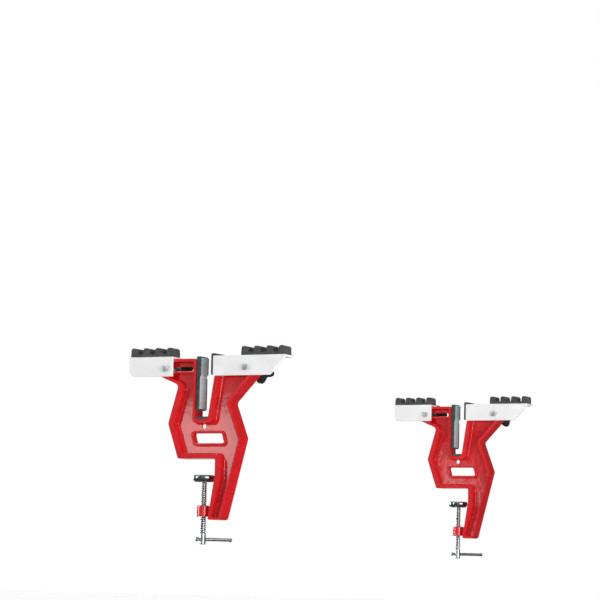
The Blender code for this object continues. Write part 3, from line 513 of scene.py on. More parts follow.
def zinc_plate(name, shade, root_shade_range=None):
    """Cool grey zinc on steel; root_shade_range is the range of Pointiness over which painted shade
    darkens the thread roots.
    """
    material, tree, shader, spot = finish(name, 0.28, 1.0)
    tint = colours(tree, noise(tree, spot, 5, 4, 0.6), [
        (position, tuple(part * shade for part in grey_tone)) for position, grey_tone in ZINC_GREYS
    ])
    if root_shade_range:
        # painted shade: the thread roots, where the Pointiness is low, are darkened
        tint = mixed(tree, pointed(tree, 1.0, *root_shade_range), ROOT_SHADE, tint)
    lines = noise(tree, stretched(tree, spot, (0.15, 0.15, 1.0)), 0.5, 2)
    dress(tree, shader, tint, spread(tree, noise(tree, spot, 2, 3), 0.20, 0.36),
          bumps(tree, lines, 0.004))
    return material


zinc = zinc_plate("zinc_plate", 1.4)
threaded_zinc = zinc_plate("zinc_plate_threaded", 1.2, root_shade_range=(0.44, 0.54))
drawn_zinc = zinc_plate("zinc_plate_drawn", 0.62)
print("made", zinc.name, "and", threaded_zinc.name, "and", drawn_zinc.name)

# %% [markdown]
# **Dark chrome.** The swivel feet have a dark bright plating, almost a mirror, with faint smudges.

# %% Dark chrome
chrome, tree, shader, spot = finish("dark_chrome", 0.12, 1.0)
tint = colours(tree, noise(tree, spot, 9, 3), [
    (0.30, (0.19, 0.225, 0.23)),
    (0.70, (0.29, 0.33, 0.335)),
])
dress(tree, shader, tint, spread(tree, noise(tree, spot, 4, 4), 0.08, 0.24),
      bumps(tree, noise(tree, spot, 7, 1), 0.03))
print("made", chrome.name, "with", len(tree.nodes), "nodes")

# %% [markdown]
# ## The casting
# The casting is the part that everything else hangs on: a C-shaped plate with thick edges and a thin
# web between them, like a small I-beam bent into a hook. It starts as a sharp outline with thickness.
# One inset on each face leaves the edge flange. The flange isn't the same width all round, so the
# inset's corners are then moved to the pocket's own outline. A second inset sinks the pocket, and its
# walls lean by a draft of one millimetre so that the casting can leave its sand.

# %% The casting's outline
FRONT, BACK = -14.0, 14.0
FLANGE, WEB, DRAFT, FLOOR_FILLET, RIM_RADIUS = 4.3, 4.4, 1.0, 1.9, 1.7

CASTING = [
    (15.6, -99.2, 2.5),
    (38.4, -99.2, 6.0),
    (72.6, 33.4, 7.0),
    (50.6, 91.3, 7.0),
    (103.6, 148.0, 2.5),
    (103.6, 163.6, 2.5),
    (25.97, 163.6, 2.5),
    (11.1, 64.5, 2.5),
    (-13.0, 64.5, 2.5),
    (-13.0, 163.6, 2.5),
    (-82.8, 163.6, 2.5),
    (-82.8, 136.6, 2.5),
    (-44.3, 120.7, 7.0),
    (-62.1, 57.5, 7.0),
    (-42.3, 0.0, 2.5),
    (26.7, 0.0, 3.0),
    (26.7, -28.0, 7.0),
]
POCKET = [
    (20.2, -94.9, 3.8),
    (36.9, -94.9, 3.8),
    (68.2, 30.3, 6.0),
    (43.7, 92.7, 13.0),
    (99.3, 152.2, 3.5),
    (99.3, 159.3, 3.5),
    (33.9, 159.3, 4.0),
    (18.8, 58.5, 8.5),
    (-17.3, 58.5, 6.8),
    (-17.3, 159.3, 4.0),
    (-78.5, 159.3, 3.5),
    (-78.5, 140.2, 3.5),
    (-33.6, 121.7, 12.0),
    (-51.6, 57.8, 5.0),
    (-34.3, 7.5, 5.0),
    (36.7, 7.5, 10.5),
    (36.7, -33.0, 12.0),
]


def corner_number(vert, corners):
    """Which of an outline's corners a vertex stands at."""
    return next(index for index, corner in enumerate(corners)
                if (vert.co.xz - Vector(corner[:2]) * MM).length < NEAR)


def outer_partner(vert, face):
    """The vertex outside a freshly inset face that a vertex of the face is joined to."""
    return next(e.other_vert(vert) for e in vert.link_edges if e.other_vert(vert) not in face.verts)


casting = flat_prism(CASTING, FRONT, BACK)
sink = (BACK - FRONT - WEB) / 2
walls = []
for face in [f for f in casting.faces if len(f.verts) == len(CASTING)]:
    inset(casting, [face], FLANGE)
    for vert in face.verts:
        x, z, _ = POCKET[corner_number(outer_partner(vert, face), CASTING)]
        vert.co = (x * MM, vert.co.y, z * MM)
    inset(casting, [face], DRAFT, -sink)
    for vert in face.verts:
        rim_vert = outer_partner(vert, face)
        walls.append((corner_number(rim_vert, POCKET), rim_vert.co.copy(), vert.co.copy()))
print("the pockets are", round(sink, 1), "mm deep and have", len(walls), "wall corners")

# %% [markdown]
# Bevels round it all: first each wall corner of the pockets with its own radius, then the fillet round
# the pockets' floors, the outline's corners, and last the rims. Each one needs the edges that the one
# before leaves. A wall corner is found again by the places of its two ends, because every bevel makes
# new edges round it.

# %% Rounding the casting
def on_web(face):
    """Whether a face lies flat on the web."""
    height = abs(face.calc_center_median().y)
    return abs(face.normal.y) > 0.99 and abs(height - WEB / 2 * MM) < NEAR


for index, top, foot in walls:
    edges = edges_where(casting, lambda place: min((place - top).length, (place - foot).length) < WELD)
    round_edges(casting, edges, corner_offset(POCKET, index), 6)
floor_edges = [e for e in casting.edges if any(on_web(face) for face in e.link_faces)]
round_edges(casting, floor_edges, FLOOR_FILLET)
round_corners(casting, CASTING)
round_edges(casting, end_edges(casting, FRONT, BACK), RIM_RADIUS, 5)
print("the casting has", len(casting.faces), "faces and", round(casting.calc_volume() * 1e6), "cm3")

# %% [markdown]
# The openings go through the web: a slanted window, a round hole and one long slot for each arm's bolt.
# They are cut with a Boolean, because the web's floor is one large face and the openings lie inside it.
# The window has a raised rim, whose inside is the window's wall, so its cut is hidden inside the rim.

# %% The openings
WINDOW_X, WINDOW_Z, WINDOW_WIDE, WINDOW_HIGH, WINDOW_LEAN = 8.9, 33.6, 53.0, 16.0, 4.5
WINDOW_RADIUS, WINDOW_CUT_RADIUS, RIM_WIDTH = 2.5, 4.0, 4.8
ROUND_HOLE_X, ROUND_HOLE_Z, ROUND_HOLE_RADIUS = -1.5, 53.2, 4.0
ADJUST_Z, ADJUST_RADIUS = 147.6, 3.6
ADJUST_SLOTS = ((-74.0, -23.0), (46.0, 86.5))
CUT, WINDOW_CUT = 5, 9


def window_outline(grow, radius):
    """The window's slanted outline, grown by some millimetres."""
    wide = WINDOW_WIDE / 2 + grow
    high = WINDOW_HIGH / 2 + grow
    lean = WINDOW_LEAN / 2 * high / (WINDOW_HIGH / 2)
    return [
        (WINDOW_X - wide + lean, WINDOW_Z - high, radius),
        (WINDOW_X + wide + lean, WINDOW_Z - high, radius),
        (WINDOW_X + wide - lean, WINDOW_Z + high, radius),
        (WINDOW_X - wide - lean, WINDOW_Z + high, radius),
    ]


def slot_outline(left, right, height, radius):
    """A round-ended slot, as a rectangle whose corners take nearly the whole radius."""
    return box_outline(left, right, height - radius, height + radius, radius * 0.999)


openings = [slot_outline(left, right, ADJUST_Z, ADJUST_RADIUS) for left, right in ADJUST_SLOTS]
openings.append(slot_outline(ROUND_HOLE_X - ROUND_HOLE_RADIUS, ROUND_HOLE_X + ROUND_HOLE_RADIUS,
                             ROUND_HOLE_Z, ROUND_HOLE_RADIUS))
for opening in openings:
    casting = cut_away(casting, outline_solid(opening, -CUT, CUT, segments=10))
window_cut = window_outline(RIM_WIDTH / 2, WINDOW_CUT_RADIUS)
casting = cut_away(casting, outline_solid(window_cut, -WINDOW_CUT, WINDOW_CUT))
print("after the openings it has", len(casting.faces), "faces")

# %% [markdown]
# The window's rim is its own small casting detail: a ring that stands 4 mm proud of the web on both
# sides. The window's outline is cut out of a wider one, and the ring's edges are rounded.
# The thin ribs under the adjusting slots keep the bars stiff. The boss at the foot carries the screw.

# %% Rim, ribs and boss
RIM_STAND, RIM_EDGE = 4.0, 1.2
RIB_TOP, RIB_LOW, RIB_FRONT = 143.5, 140.1, -13.2
RIB_SPANS = ((-80.0, -15.2), (25.0, 93.2))
BOSS_RADIUS, BORE_RADIUS, BOSS_LOW, BOSS_TOP = 11.5, 5.5, -94.0, -76.0
NECK_LEFT, NECK_RIGHT, NECK_HALF = 8.5, 18.5, 4

rim_face = WEB / 2 + RIM_STAND
rim = outline_solid(window_outline(RIM_WIDTH, WINDOW_RADIUS + RIM_WIDTH), -rim_face, rim_face)
window = outline_solid(window_outline(0, WINDOW_RADIUS), -rim_face - 2, rim_face + 2)
rim = cut_away(rim, window)
bmesh.ops.dissolve_limit(rim, angle_limit=math.radians(0.5), verts=rim.verts, edges=rim.edges)
round_edges(rim, end_edges(rim, -rim_face, rim_face), RIM_EDGE, 3)

ribs = [outline_solid(box_outline(left, right, RIB_LOW, RIB_TOP), RIB_FRONT, 0, 1.0)
        for left, right in RIB_SPANS]
boss = turned_solid(plain_profile(BORE_RADIUS, BOSS_RADIUS, BOSS_LOW, BOSS_TOP), 72, 1.3, closed=True)
neck = outline_solid(box_outline(NECK_LEFT, NECK_RIGHT, BOSS_LOW + 1, BOSS_TOP - 1),
                     -NECK_HALF, NECK_HALF, 1.0)
casting = put_together(casting, rim, *ribs, boss, neck)
for face in casting.faces:
    face.material_index = int(on_web(face))

for vise in VISES:
    add_part("casting", casting, vise, "frames", red, ["frame"], second=web_red)
print("the whole casting has", len(casting.faces), "faces")

# %% [markdown]
# ## The ski slot
# A rubber strip lies on the slot's floor, so a ski's edge can't chip the paint. The upright wall of the
# slot carries a moulded jaw body, and a grey friction pad fills a recess in its face. The face steps
# out near the top. One inset of the three faces that look across the slot leaves a lip round them, and
# a second one sinks them.

# %% Slot liner and jaw
JAW_WALL, JAW_FOOT, JAW_TOP, STEP_LOW, STEP_HIGH = -12.7, 79.4, 167.4, 133.0, 137.0
JAW_HALF, JAW_LIP, RECESS = 12.4, 0.9, 2.0
PAD_FOOT, PAD_TOP, PAD_HALF = 81.4, 165.6, 10.7

liner_outline = [(-12.7, 64.8, 2.8), (10.8, 64.8, 2.8), (11.1, 68.5, 0.5), (-12.7, 68.5, 0.5)]
liner = outline_solid(liner_outline, -13.7, 13.7, 0.4)

jaw = flat_prism([
    (JAW_WALL, JAW_FOOT, 0),
    (-6.4, JAW_FOOT, 0),
    (-6.4, STEP_LOW, 0),
    (-4.7, STEP_HIGH, 0),
    (-4.7, JAW_TOP, 0),
    (JAW_WALL, JAW_TOP, 0),
], -JAW_HALF, JAW_HALF)
round_edges(jaw, sharp_edges(jaw, 60), 0.7, 3)
face_side = [f for f in jaw.faces if f.normal.x > 0.9 and f.calc_area() > 10 * MM ** 2]
inset(jaw, face_side, JAW_LIP)
inset(jaw, face_side, 0.01, -RECESS)

pad_front = [(-5.9, PAD_FOOT, 0.4), (-5.9, STEP_LOW, 3.0), (-4.2, STEP_HIGH, 3.0), (-4.2, PAD_TOP, 0.4)]
pad_back = [(-6.6, PAD_TOP, 0), (-6.6, STEP_HIGH, 0), (-8.3, STEP_LOW, 0), (-8.3, PAD_FOOT, 0)]
jaw_pad = outline_solid(pad_front + pad_back, -PAD_HALF, PAD_HALF, 0.4)

for vise in VISES:
    add_part("slot_liner", liner, vise, "frames", rubber, ["slot_liner"])
    add_part("jaw_body", jaw, vise, "frames", rubber, ["jaw_backing"])
    add_part("jaw_pad", jaw_pad, vise, "frames", grey, ["jaw_pad"])
print("the jaw has", len(jaw.faces), "faces, its pad", len(jaw_pad.faces))

# %% [markdown]
# ## The arms
# Each arm is an L-shaped bar, folded over the casting's top bar: a front wall and a roof.
# The section is drawn once as a face and extruded along the arm. A plane slices the long arm's outer
# end on a slant, and the short arm's lower corner gets one large bevel. Both then get soft edges.

# %% Arm bars
ARM_FRONT, ARM_INSIDE, ARM_BACK = -19.3, -14.3, 14.5
ARM_LOW, ARM_ROOF, ARM_TOP = 134.6, 163.9, 167.4
SHORT_OUTER, SHORT_INNER = -136.4, -54.4
LONG_INNER, LONG_OUTER = 21.1, 151.6
SLANT, SQUARE_END, BIG_CORNER, ARM_EDGE = 27.0, 5.0, 12.5, 1.3


def arm_bar(left, right):
    """The L section, run from left to right along X."""
    bm = bmesh.new()
    section = [
        (ARM_FRONT, ARM_LOW),
        (ARM_INSIDE, ARM_LOW),
        (ARM_INSIDE, ARM_ROOF),
        (ARM_BACK, ARM_ROOF),
        (ARM_BACK, ARM_TOP),
        (ARM_FRONT, ARM_TOP),
    ]
    face = bm.faces.new([bm.verts.new((left * MM, y * MM, z * MM)) for y, z in section])
    extrude(bm, [face], right - left, 0, 0)
    return bm


def soften(bm, offset, segments, least):
    """Rounds every outward edge that turns by more than the least angle."""
    round_edges(bm, [e for e in sharp_edges(bm, least) if e.is_convex], offset, segments)


long_arm = arm_bar(LONG_INNER, LONG_OUTER)
slant_top = ARM_TOP - SQUARE_END
bmesh.ops.bisect_plane(long_arm, geom=long_arm.verts[:] + long_arm.edges[:] + long_arm.faces[:],
                       plane_co=(LONG_OUTER * MM, 0, slant_top * MM),
                       plane_no=(slant_top - ARM_LOW, 0, -SLANT), clear_outer=True)
bmesh.ops.holes_fill(long_arm, edges=[e for e in long_arm.edges if e.is_boundary], sides=0)
bmesh.ops.recalc_face_normals(long_arm, faces=long_arm.faces)
soften(long_arm, ARM_EDGE, 4, 30)

short_arm = arm_bar(SHORT_OUTER, SHORT_INNER)
low_outer = Vector((SHORT_OUTER, ARM_LOW)) * MM
outer_corner = edges_where(short_arm, lambda place: (place.xz - low_outer).length < MM)
round_edges(short_arm, outer_corner, BIG_CORNER, 12)
soften(short_arm, ARM_EDGE, 4, 40)

for vise in VISES:
    for side, arm in (("long", long_arm), ("short", short_arm)):
        add_part(f"{side}_arm", arm, vise, f"{vise}_{side}_arm_body", white,
                 [f"{side}_arm"])
print("the long arm has", len(long_arm.faces), "faces, the short arm", len(short_arm.faces))

# %% [markdown]
# ## The arms' pads
# Each arm's pad is one moulded rubber strip with four blocks. Its side outline is drawn with square
# teeth, and the corner radii do the rest: large ones on top of the blocks and small ones at the roots.
# The long arm also has a rubber nose on its inner end, which is the moving jaw for a ski.

# %% Pads and nose
BLOCKS, BLOCK, GROOVE, BASE, PAD_TALL, PAD_DEEP = 4, 11.5, 11.0, 4.0, 14.4, 26.0
PAD_LONG = BLOCKS * BLOCK + (BLOCKS - 1) * GROOVE
DRAFT_IN = 0.7
PAD_LOW = ARM_TOP + 0.3
NOSE_LEFT, NOSE_FACE, LIP_END, NOSE_LOW, LIP_TOP = 17.4, 20.8, 25.8, ARM_LOW + 1.5, ARM_TOP + 3.9


def pad_strip(left):
    """The toothed rubber strip with its left end at one place along X."""
    outline = [(left, PAD_LOW, 0.6), (left + PAD_LONG, PAD_LOW, 0.6)]
    for tooth in reversed(range(BLOCKS)):
        start = left + tooth * (BLOCK + GROOVE)
        end = start + BLOCK
        if tooth < BLOCKS - 1:
            outline.append((end, PAD_LOW + BASE, 1.2))
        outline.append((end - DRAFT_IN, PAD_LOW + PAD_TALL, 4.0))
        outline.append((start + DRAFT_IN, PAD_LOW + PAD_TALL, 4.0))
        if tooth > 0:
            outline.append((start, PAD_LOW + BASE, 1.2))
    return outline_solid(outline, ARM_FRONT + 0.4, ARM_FRONT + 0.4 + PAD_DEEP, 1.0)


short_pad = pad_strip(SHORT_INNER - PAD_LONG)
long_pad = pad_strip(LONG_OUTER - 0.6 - PAD_LONG)
nose = outline_solid([
    (NOSE_LEFT, NOSE_LOW, 1.0),
    (NOSE_FACE, NOSE_LOW, 1.0),
    (NOSE_FACE, PAD_LOW, 0),
    (LIP_END, PAD_LOW, 0),
    (LIP_END, LIP_TOP, 1.2),
    (NOSE_LEFT, LIP_TOP, 2.0),
], ARM_FRONT, ARM_BACK, 0.7)

for vise in VISES:
    for name, part, side, node in (
        ("short_pad", short_pad, "short", "short_arm_pad"),
        ("long_pad", long_pad, "long", "long_arm_pad"),
        ("nose", nose, "long", "long_arm_nose"),
    ):
        add_part(name, part, vise, f"{vise}_{side}_arm_body", rubber, [node])
print("each pad is", PAD_LONG, "mm long and has", len(short_pad.faces), "faces")

# %% [markdown]
# ## Bolts, washers and sleeves
# A hex bolt goes through each arm, the casting's slot, a washer, a sleeve and a second washer into the
# knob. A bolt's head is a six-sided bar whose top corners are turned off to a cone. Here the hexagon is
# extruded, its top edges are bevelled, and the shank is a second turned body.

# %% The bolt
HEAD_FLATS, HEAD_HEIGHT, SHANK_RADIUS, SHANK_TIP = 10.0, 4.0, 3.0, 0.8
HEAD_BACK, SHANK_END = -19.6, 36.4

bolt = bmesh.new()
head_corner = HEAD_FLATS / 2 / math.cos(math.radians(30))
bmesh.ops.create_circle(bolt, cap_ends=True, radius=head_corner * MM, segments=6)
turn_all(bolt, 90, "X")
extrude(bolt, bolt.faces[:], 0, -HEAD_HEIGHT, 0)
round_edges(bolt, edges_where(bolt, lambda place: place.y < -HEAD_HEIGHT * MM * 0.9), 0.55, 2)
soften(bolt, 0.25, 2, 40)

shank_long = SHANK_END - HEAD_BACK
shank = turned_solid([
    (0, 0),
    (SHANK_RADIUS, 0),
    (SHANK_RADIUS, shank_long - SHANK_TIP),
    (SHANK_RADIUS - SHANK_TIP, shank_long),
    (0, shank_long),
], 32)
turn_all(shank, -90, "X")
bolt = put_together(bolt, shank)
print("the bolt's head is", HEAD_HEIGHT, "mm high and its shank", shank_long, "mm long")

# %% [markdown]
# Washers and sleeves are rings. The knob is a lobed grip on a round hub: a disc is extruded in steps
# along its axis, and for the grip each point is moved out or in by a cosine of its angle, five waves to
# the turn. The rims are then bevelled, as a moulded knob has no sharp edge to hurt a hand.

# %% Rings and knob
BOLT_HOLE, BORE_DEPTH = 3.4, 15
KNOB_OUT, KNOB_IN, LOBES, HUB_RADIUS, HUB_LONG, GRIP_LONG = 22.5, 15.0, 5, 11.0, 6.0, 16.0
# depth and scale of each step of the grip
KNOB_STEPS = ((0.3, 0.86), (2.2, 1.0), (GRIP_LONG - 6.0, 1.0), (2.6, 0.95), (0.9, 0.85))


def bolt_ring(outer, length):
    """A ring round the bolt, along Y from zero."""
    ring = turned_solid(plain_profile(BOLT_HOLE, outer, 0, length), 48, 0.3, closed=True)
    turn_all(ring, -90, "X")
    return ring


def extruded_cap(bm, cap):
    """Extrudes an end face and gives the new end face."""
    run = bmesh.ops.extrude_face_region(bm, geom=[cap])
    return next(item for item in run["geom"] if isinstance(item, bmesh.types.BMFace))


knob = bmesh.new()
bmesh.ops.create_circle(knob, cap_ends=True, radius=HUB_RADIUS * MM, segments=120)
turn_all(knob, 90, "X")
cap = extruded_cap(knob, knob.faces[:][0])
bmesh.ops.translate(knob, vec=(0, HUB_LONG * MM, 0), verts=cap.verts)
for depth, scale in KNOB_STEPS:
    old_cap = cap
    cap = extruded_cap(knob, old_cap)
    if old_cap.is_valid:
        bmesh.ops.delete(knob, geom=[old_cap], context="FACES_ONLY")
    for vert in cap.verts:
        angle = math.atan2(vert.co.z, vert.co.x)
        radius = (KNOB_OUT + KNOB_IN) / 2 + (KNOB_OUT - KNOB_IN) / 2 * math.cos(LOBES * angle)
        radius *= scale * MM
        vert.co = Vector((radius * math.cos(angle), vert.co.y + depth * MM, radius * math.sin(angle)))
bmesh.ops.recalc_face_normals(knob, faces=knob.faces)
rims = [e for e in sharp_edges(knob, 20) if abs(e.verts[0].co.y - e.verts[1].co.y) < WELD]
round_edges(knob, rims, 0.8, 3)
bore = turned_solid(plain_profile(0, BOLT_HOLE, -1, BORE_DEPTH), 32)
turn_all(bore, -90, "X")
knob = cut_away(knob, bore)
print("the knob has", len(knob.faces), "faces and", LOBES, "lobes")

# %% Mounting the bolts and knobs
BOLT_PLACES = {"short": -66.4, "long": 81.2}
KNOB_TURNS = {"near": {"short": -31, "long": 20}, "far": {"short": -12, "long": 5}}
KNOB_FRONT = 23.4
STACK = {
    "web_washer": bolt_ring(6.2, 1.6),
    "sleeve": bolt_ring(5.5, 16.8),
    "knob_washer": bolt_ring(6.2, 1.6),
}
for vise in VISES:
    for side, x in BOLT_PLACES.items():
        arm_body = f"{vise}_{side}_arm_body"
        add_part(f"{side}_bolt", bolt, vise, arm_body, zinc, [f"{side}_arm_bolt"],
                 place=(x, HEAD_BACK, ADJUST_Z), angle=25)
        for node, ring in STACK.items():
            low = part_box(f"{vise}_{side}_arm_{node}")[0].y / MM - VISES[vise]
            add_part(f"{side}_{node}", ring, vise, arm_body, zinc, [f"{side}_arm_{node}"],
                     place=(x, low, ADJUST_Z))
        add_part(f"{side}_knob", knob, vise, f"{vise}_{side}_arm_knob_body", plastic,
                 [f"{side}_arm_knob"], turn=("Y", KNOB_TURNS[vise][side]),
                 place=(x, KNOB_FRONT, ADJUST_Z))
print("mounted", 2 * len(BOLT_PLACES), "bolts with their rings and knobs")

# %% [markdown]
# ## The clamp screw
# The screw has a trapezoidal thread of 3 mm pitch, as clamps do, because it is strong and hard to
# damage. The profile of one thread is a short chain of points, and a spin that also climbs one pitch
# for each turn sweeps it into the whole helix. Its ends are closed with faces, and a solid core lies
# inside it. The lower end is plain and has a cross hole for the turning bar.

# %% Thread, core and plain end
THREAD_PITCH, CREST, ROOT = 3.0, 5.2, 3.75
THREAD_LOW, SCREW_END, SHOULDER, TIP, TIP_RADIUS = -121.5, -138.9, -38.5, -37.9, 3.2
BAR_HEIGHT, BAR_HOLE, DRILL_HALF = -130.6, 3.05, 9
THREAD = [(ROOT, 0.0), (CREST, 0.62), (CREST, 1.72), (ROOT, 2.34), (ROOT, THREAD_PITCH)]
STEPS = 32

screw = bmesh.new()
turns = int((SHOULDER - THREAD_LOW) / THREAD_PITCH) - 1
verts = [screw.verts.new((radius * MM, 0, (THREAD_LOW + height) * MM)) for radius, height in THREAD]
edges = [screw.edges.new(pair) for pair in zip(verts, verts[1:])]
bmesh.ops.spin(screw, geom=verts + edges, cent=(0, 0, 0), axis=(0, 0, 1),
               dvec=(0, 0, THREAD_PITCH / STEPS * MM), angle=2 * math.pi * turns, steps=STEPS * turns)
bmesh.ops.remove_doubles(screw, verts=screw.verts, dist=WELD)
for end in (THREAD_LOW, THREAD_LOW + turns * THREAD_PITCH):
    section = [v for v in screw.verts if abs(v.co.y) < NEAR and v.co.x > 0
               and -NEAR < v.co.z - end * MM < THREAD_PITCH * MM + NEAR]
    screw.faces.new(sorted(section, key=lambda vert: vert.co.z))
bmesh.ops.holes_fill(screw, edges=[e for e in screw.edges if e.is_boundary], sides=0)
bmesh.ops.recalc_face_normals(screw, faces=screw.faces)

core = turned_solid(plain_profile(0, ROOT - 0.02, THREAD_LOW - 1, SHOULDER - 1.2), 48)
collar = turned_solid([
    (0, SHOULDER - 3.6),
    (CREST - 0.5, SHOULDER - 3.6),
    (CREST - 0.1, SHOULDER - 2.6),
    (CREST - 0.7, SHOULDER),
    (TIP_RADIUS, SHOULDER),
    (TIP_RADIUS, TIP),
    (0, TIP),
], 48)
plain = turned_solid([
    (0, SCREW_END),
    (CREST - 1, SCREW_END),
    (CREST, SCREW_END + 1),
    (CREST, THREAD_LOW + 0.4),
    (CREST - 1.2, THREAD_LOW + 1.8),
    (0, THREAD_LOW + 1.8),
], 64, 0.3)
drill = turned_solid(plain_profile(0, BAR_HOLE, -DRILL_HALF, DRILL_HALF), 40)
turn_all(drill, 90, "Y")
bmesh.ops.translate(drill, vec=(0, 0, BAR_HEIGHT * MM), verts=drill.verts)
plain = cut_away(plain, drill)
screw = put_together(screw, core, collar, plain)
print("the screw has", turns, "turns of thread and", len(screw.faces), "faces")

# %% [markdown]
# The swivel foot is a turned cup that rides on the screw's ball and lies flat against what it clamps.
# Its profile includes the ball socket, so it is a closed loop. The turning bar is a plain rod, and its
# ends are upset in a press so that it can't fall out of the hole.

# %% Swivel foot and turning bar
BALL_CENTRE, SOCKET, MOUTH, SOCKET_STEPS = -33.0, 4.9, 3.9, 8
foot_profile = [
    (6.2, -37.5),
    (14.5, -37.5),
    (15.9, -36.6),
    (17.1, -35.2),
    (17.8, -34.0),
    (18.35, -32.7),
    (18.5, -31.7),
    (18.5, -29.0),
    (18.2, -28.0),
    (17.5, -27.1),
    (16.4, -26.5),
    (0, -26.5),
]
lip = -math.acos(MOUTH / SOCKET)
for step in range(SOCKET_STEPS + 1):
    angle = math.pi / 2 + (lip - math.pi / 2) * step / SOCKET_STEPS
    foot_profile.append((max(SOCKET * math.cos(angle), 0), BALL_CENTRE + SOCKET * math.sin(angle)))
foot = turned_solid(foot_profile, 96, closed=True)
bmesh.ops.delete(foot, geom=[e for e in foot.edges if e.is_wire], context="EDGES")
print("open edges on the foot:", sum(1 for e in foot.edges if e.is_boundary))

BAR_HALF, SWAGE, ROD_RADIUS, END_RADIUS, BAR_SHIFT = 31.0, 27.0, 2.75, 3.3, 19
BAR_TURNS = {"near": 46, "far": 29}
bar_end = [
    (0, BAR_HALF),
    (END_RADIUS - 1.2, BAR_HALF),
    (END_RADIUS - 0.3, BAR_HALF - 0.5),
    (END_RADIUS, BAR_HALF - 1.4),
    (END_RADIUS, SWAGE + 0.8),
    (ROD_RADIUS, SWAGE - 0.4),
]
bar = turned_solid([(radius, -along) for radius, along in bar_end] + bar_end[::-1], 48)
turn_all(bar, 90, "Y")
bmesh.ops.translate(bar, vec=(BAR_SHIFT * MM, 0, 0), verts=bar.verts)

for vise in VISES:
    turn = ("Z", BAR_TURNS[vise])
    add_part("clamp_screw", screw, vise, f"{vise}_clamp_screw_body", threaded_zinc,
             ["clamp_screw"], turn=turn)
    add_part("clamp_foot", foot, vise, f"{vise}_clamp_foot_body", chrome, ["clamp_foot"])
    add_part("tommy_bar", bar, vise, f"{vise}_tommy_bar_body", drawn_zinc, ["tommy_bar"],
             turn=turn, place=(0, 0, BAR_HEIGHT), angle=50)
print("the bar is", 2 * BAR_HALF, "mm long")

# %% [markdown]
# The ball tips and the knobs' nuts are hidden inside other parts. Their CAD shapes are already right,
# so they only get the zinc finish.

# %% Hidden steel parts
hidden = [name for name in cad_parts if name.endswith(("_screw_ball", "_knob_nut"))]
for name in hidden:
    for material_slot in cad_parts[name].material_slots:
        material_slot.material = zinc
print("gave zinc to", len(hidden), "hidden parts")

# %% [markdown]
# ## Stage and light
# The floor is a plain pale sheet a little below the vises, under the camera's line of sight. Only to the
# camera does it glow a little, more so far away, so that it meets the white behind it and still shows
# the vises' shadow. Studio light is soft: one broad lamp on the right, where the photograph is
# brightest, weaker ones in front, at the back on the left and above. The world fills the shadows.

# %% Floor
FLOOR_HEIGHT, FLOOR_SIZE = -0.30, 30
GLOW_FROM, GLOW_TO, GLOW_NEAR, GLOW_FAR = 0.3, 3.5, 0.30, 0.55

floor = bmesh.new()
bmesh.ops.create_grid(floor, x_segments=1, y_segments=1, size=FLOOR_SIZE)
bmesh.ops.translate(floor, vec=(0, 0, FLOOR_HEIGHT), verts=floor.verts)
floor_mesh = as_mesh(floor, "floor")
floor_sheet = bpy.data.objects.new("floor", floor_mesh)
scene.collection.objects.link(floor_sheet)
pale, tree, paper, place = finish("floor_paper", 0.9, Base_Color=(0.86, 0.86, 0.86, 1),
                                  Emission_Color=(1, 1, 1, 1))
seen = add_node(tree, "LightPath").outputs["Is Camera Ray"]
distance = add_node(tree, "VectorMath", Vector=place)
distance.operation = "LENGTH"
glow = spread(tree, distance.outputs["Value"], GLOW_NEAR, GLOW_FAR, GLOW_FROM, GLOW_TO)
tree.links.new(maths(tree, "MULTIPLY", glow, seen), paper.inputs["Emission Strength"])
floor_mesh.materials.append(pale)
floor_sheet.visible_glossy = False
print("the floor lies at", FLOOR_HEIGHT, "m")

# %% [markdown]
# Gloss shows what stands round an object, so for reflections the world is a grey studio with a few
# soft-edged cards in it: bright ones for the castings' webs and for the right lamp's mirror image, and
# dark ones where the photograph's red stays deep. Below the horizon it is darker. The camera itself
# sees plain white, and every other ray finds an even, weaker white that fills the shadows.

# %% World
AMBIENT, STUDIO = 0.48, 0.45
HORIZON, DIMMEST, DIM_BELOW, DARKEST = -0.10, -0.35, 0.28, 0.05
CARDS = (
    (-38, 12, 12, 20, 2, 1.9),
    (-38, 12, 26, 38, 2, 8.0),
    (-13, 11, 9, 45, 3, -0.30),
    (-28, 24, -14, 9, 5, -0.24),
    (152, 40, -40, 40, 8, -0.44),
    (62, 19, -9, 9, 3, 4.0),
)

world = bpy.data.worlds.new("studio")
scene.world = world
world.use_nodes = True
tree = world.node_tree
background = tree.nodes["Background"]
background.inputs["Color"].default_value = (1, 1, 1, 1)
path = add_node(tree, "LightPath")
direction = add_node(tree, "TexCoord").outputs["Generated"]


def soft_step(value, start, end):
    """Rises smoothly from 0 to 1 between two values."""
    return spread(tree, value, 0.0, 1.0, start, end, "SMOOTHSTEP")


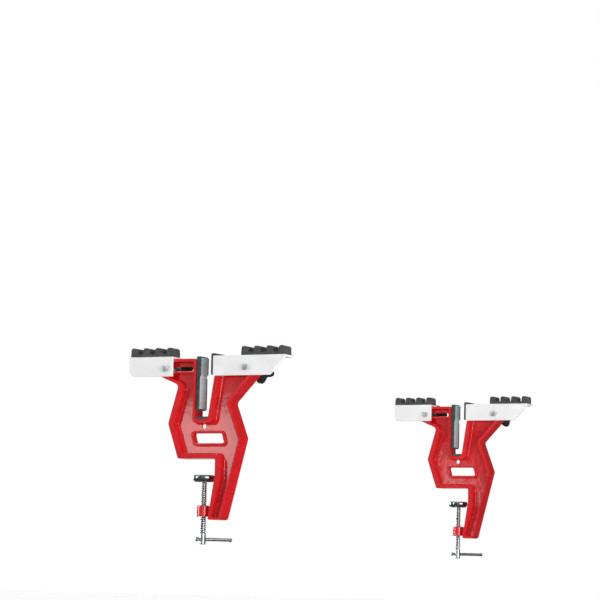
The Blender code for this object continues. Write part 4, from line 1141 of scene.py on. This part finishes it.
def card(towards, half_width, low, high, blur, strength):
    """A card seen in reflections: a compass angle from -Y, a half width, two heights, a blur."""
    turn = add_node(tree, "Mapping", Rotation=(0, 0, math.radians(-towards)), Vector=direction)
    split = add_node(tree, "SeparateXYZ", Vector=turn.outputs["Vector"])
    across, ahead, upward = (split.outputs[axis] for axis in "XYZ")
    edge, bottom, top = (math.sin(math.radians(angle)) for angle in (half_width, low, high))
    soft = math.radians(blur)
    mask = maths(tree, "MULTIPLY", soft_step(maths(tree, "ABSOLUTE", across, 0.0), edge + soft, edge),
                 soft_step(ahead, 0.0, -0.1))
    band = maths(tree, "MULTIPLY", soft_step(upward, bottom, bottom + soft),
                 soft_step(upward, top + soft, top))
    return maths(tree, "MULTIPLY", maths(tree, "MULTIPLY", mask, band), strength)


glossy = STUDIO
for numbers in CARDS:
    glossy = maths(tree, "ADD", card(*numbers), glossy)
upright = add_node(tree, "SeparateXYZ", Vector=direction)
dimming = maths(tree, "MULTIPLY", soft_step(upright.outputs["Z"], HORIZON, DIMMEST), DIM_BELOW)
glossy = maths(tree, "MAXIMUM", maths(tree, "SUBTRACT", glossy, dimming), DARKEST)
in_gloss = maths(tree, "MULTIPLY", path.outputs["Is Glossy Ray"], glossy)
not_glossy = maths(tree, "SUBTRACT", 1.0, path.outputs["Is Glossy Ray"])
fill = maths(tree, "MULTIPLY", not_glossy, AMBIENT)
white_back = maths(tree, "MULTIPLY", path.outputs["Is Camera Ray"], 1.0 - AMBIENT)
strength = maths(tree, "ADD", maths(tree, "ADD", in_gloss, fill), white_back)
tree.links.new(strength, background.inputs["Strength"])
print("the world has", len(CARDS), "reflection cards")

# %% Lamps
AIM = Vector((0.0, 0.4, 0.05))
LAMPS = {
    "right_lamp": ((2.92, -1.30, 0.02), 2.4, 0.9, 82),
    "front_lamp": ((-2.55, -2.15, 0.10), 0.7, 0.8, 15),
    "left_lamp": ((-2.8, 1.6, 0.2), 1.0, 0.6, 38),
    "top_lamp": ((0.0, 0.3, 3.0), 1.6, 2.4, 25),
}


def soft_lamp(name, place, wide, high, watts):
    """A large rectangular lamp aimed at the vises."""
    data = bpy.data.lights.new(name, "AREA")
    data.shape = "RECTANGLE"
    data.size = wide
    data.size_y = high
    data.energy = watts
    lamp = bpy.data.objects.new(name, data)
    lamp.location = place
    lamp.rotation_euler = (AIM - Vector(place)).to_track_quat("-Z", "Y").to_euler()
    scene.collection.objects.link(lamp)
    return lamp


lamps = {name: soft_lamp(name, *numbers) for name, numbers in LAMPS.items()}
lamps["right_lamp"].visible_glossy = False  # its mirror image is the last card
print("set", len(lamps), "soft lamps")

# %% [markdown]
# ## Colour
# The Standard view shows a colour about as it is written.

# %% Colour view
scene.view_settings.view_transform = "Standard"
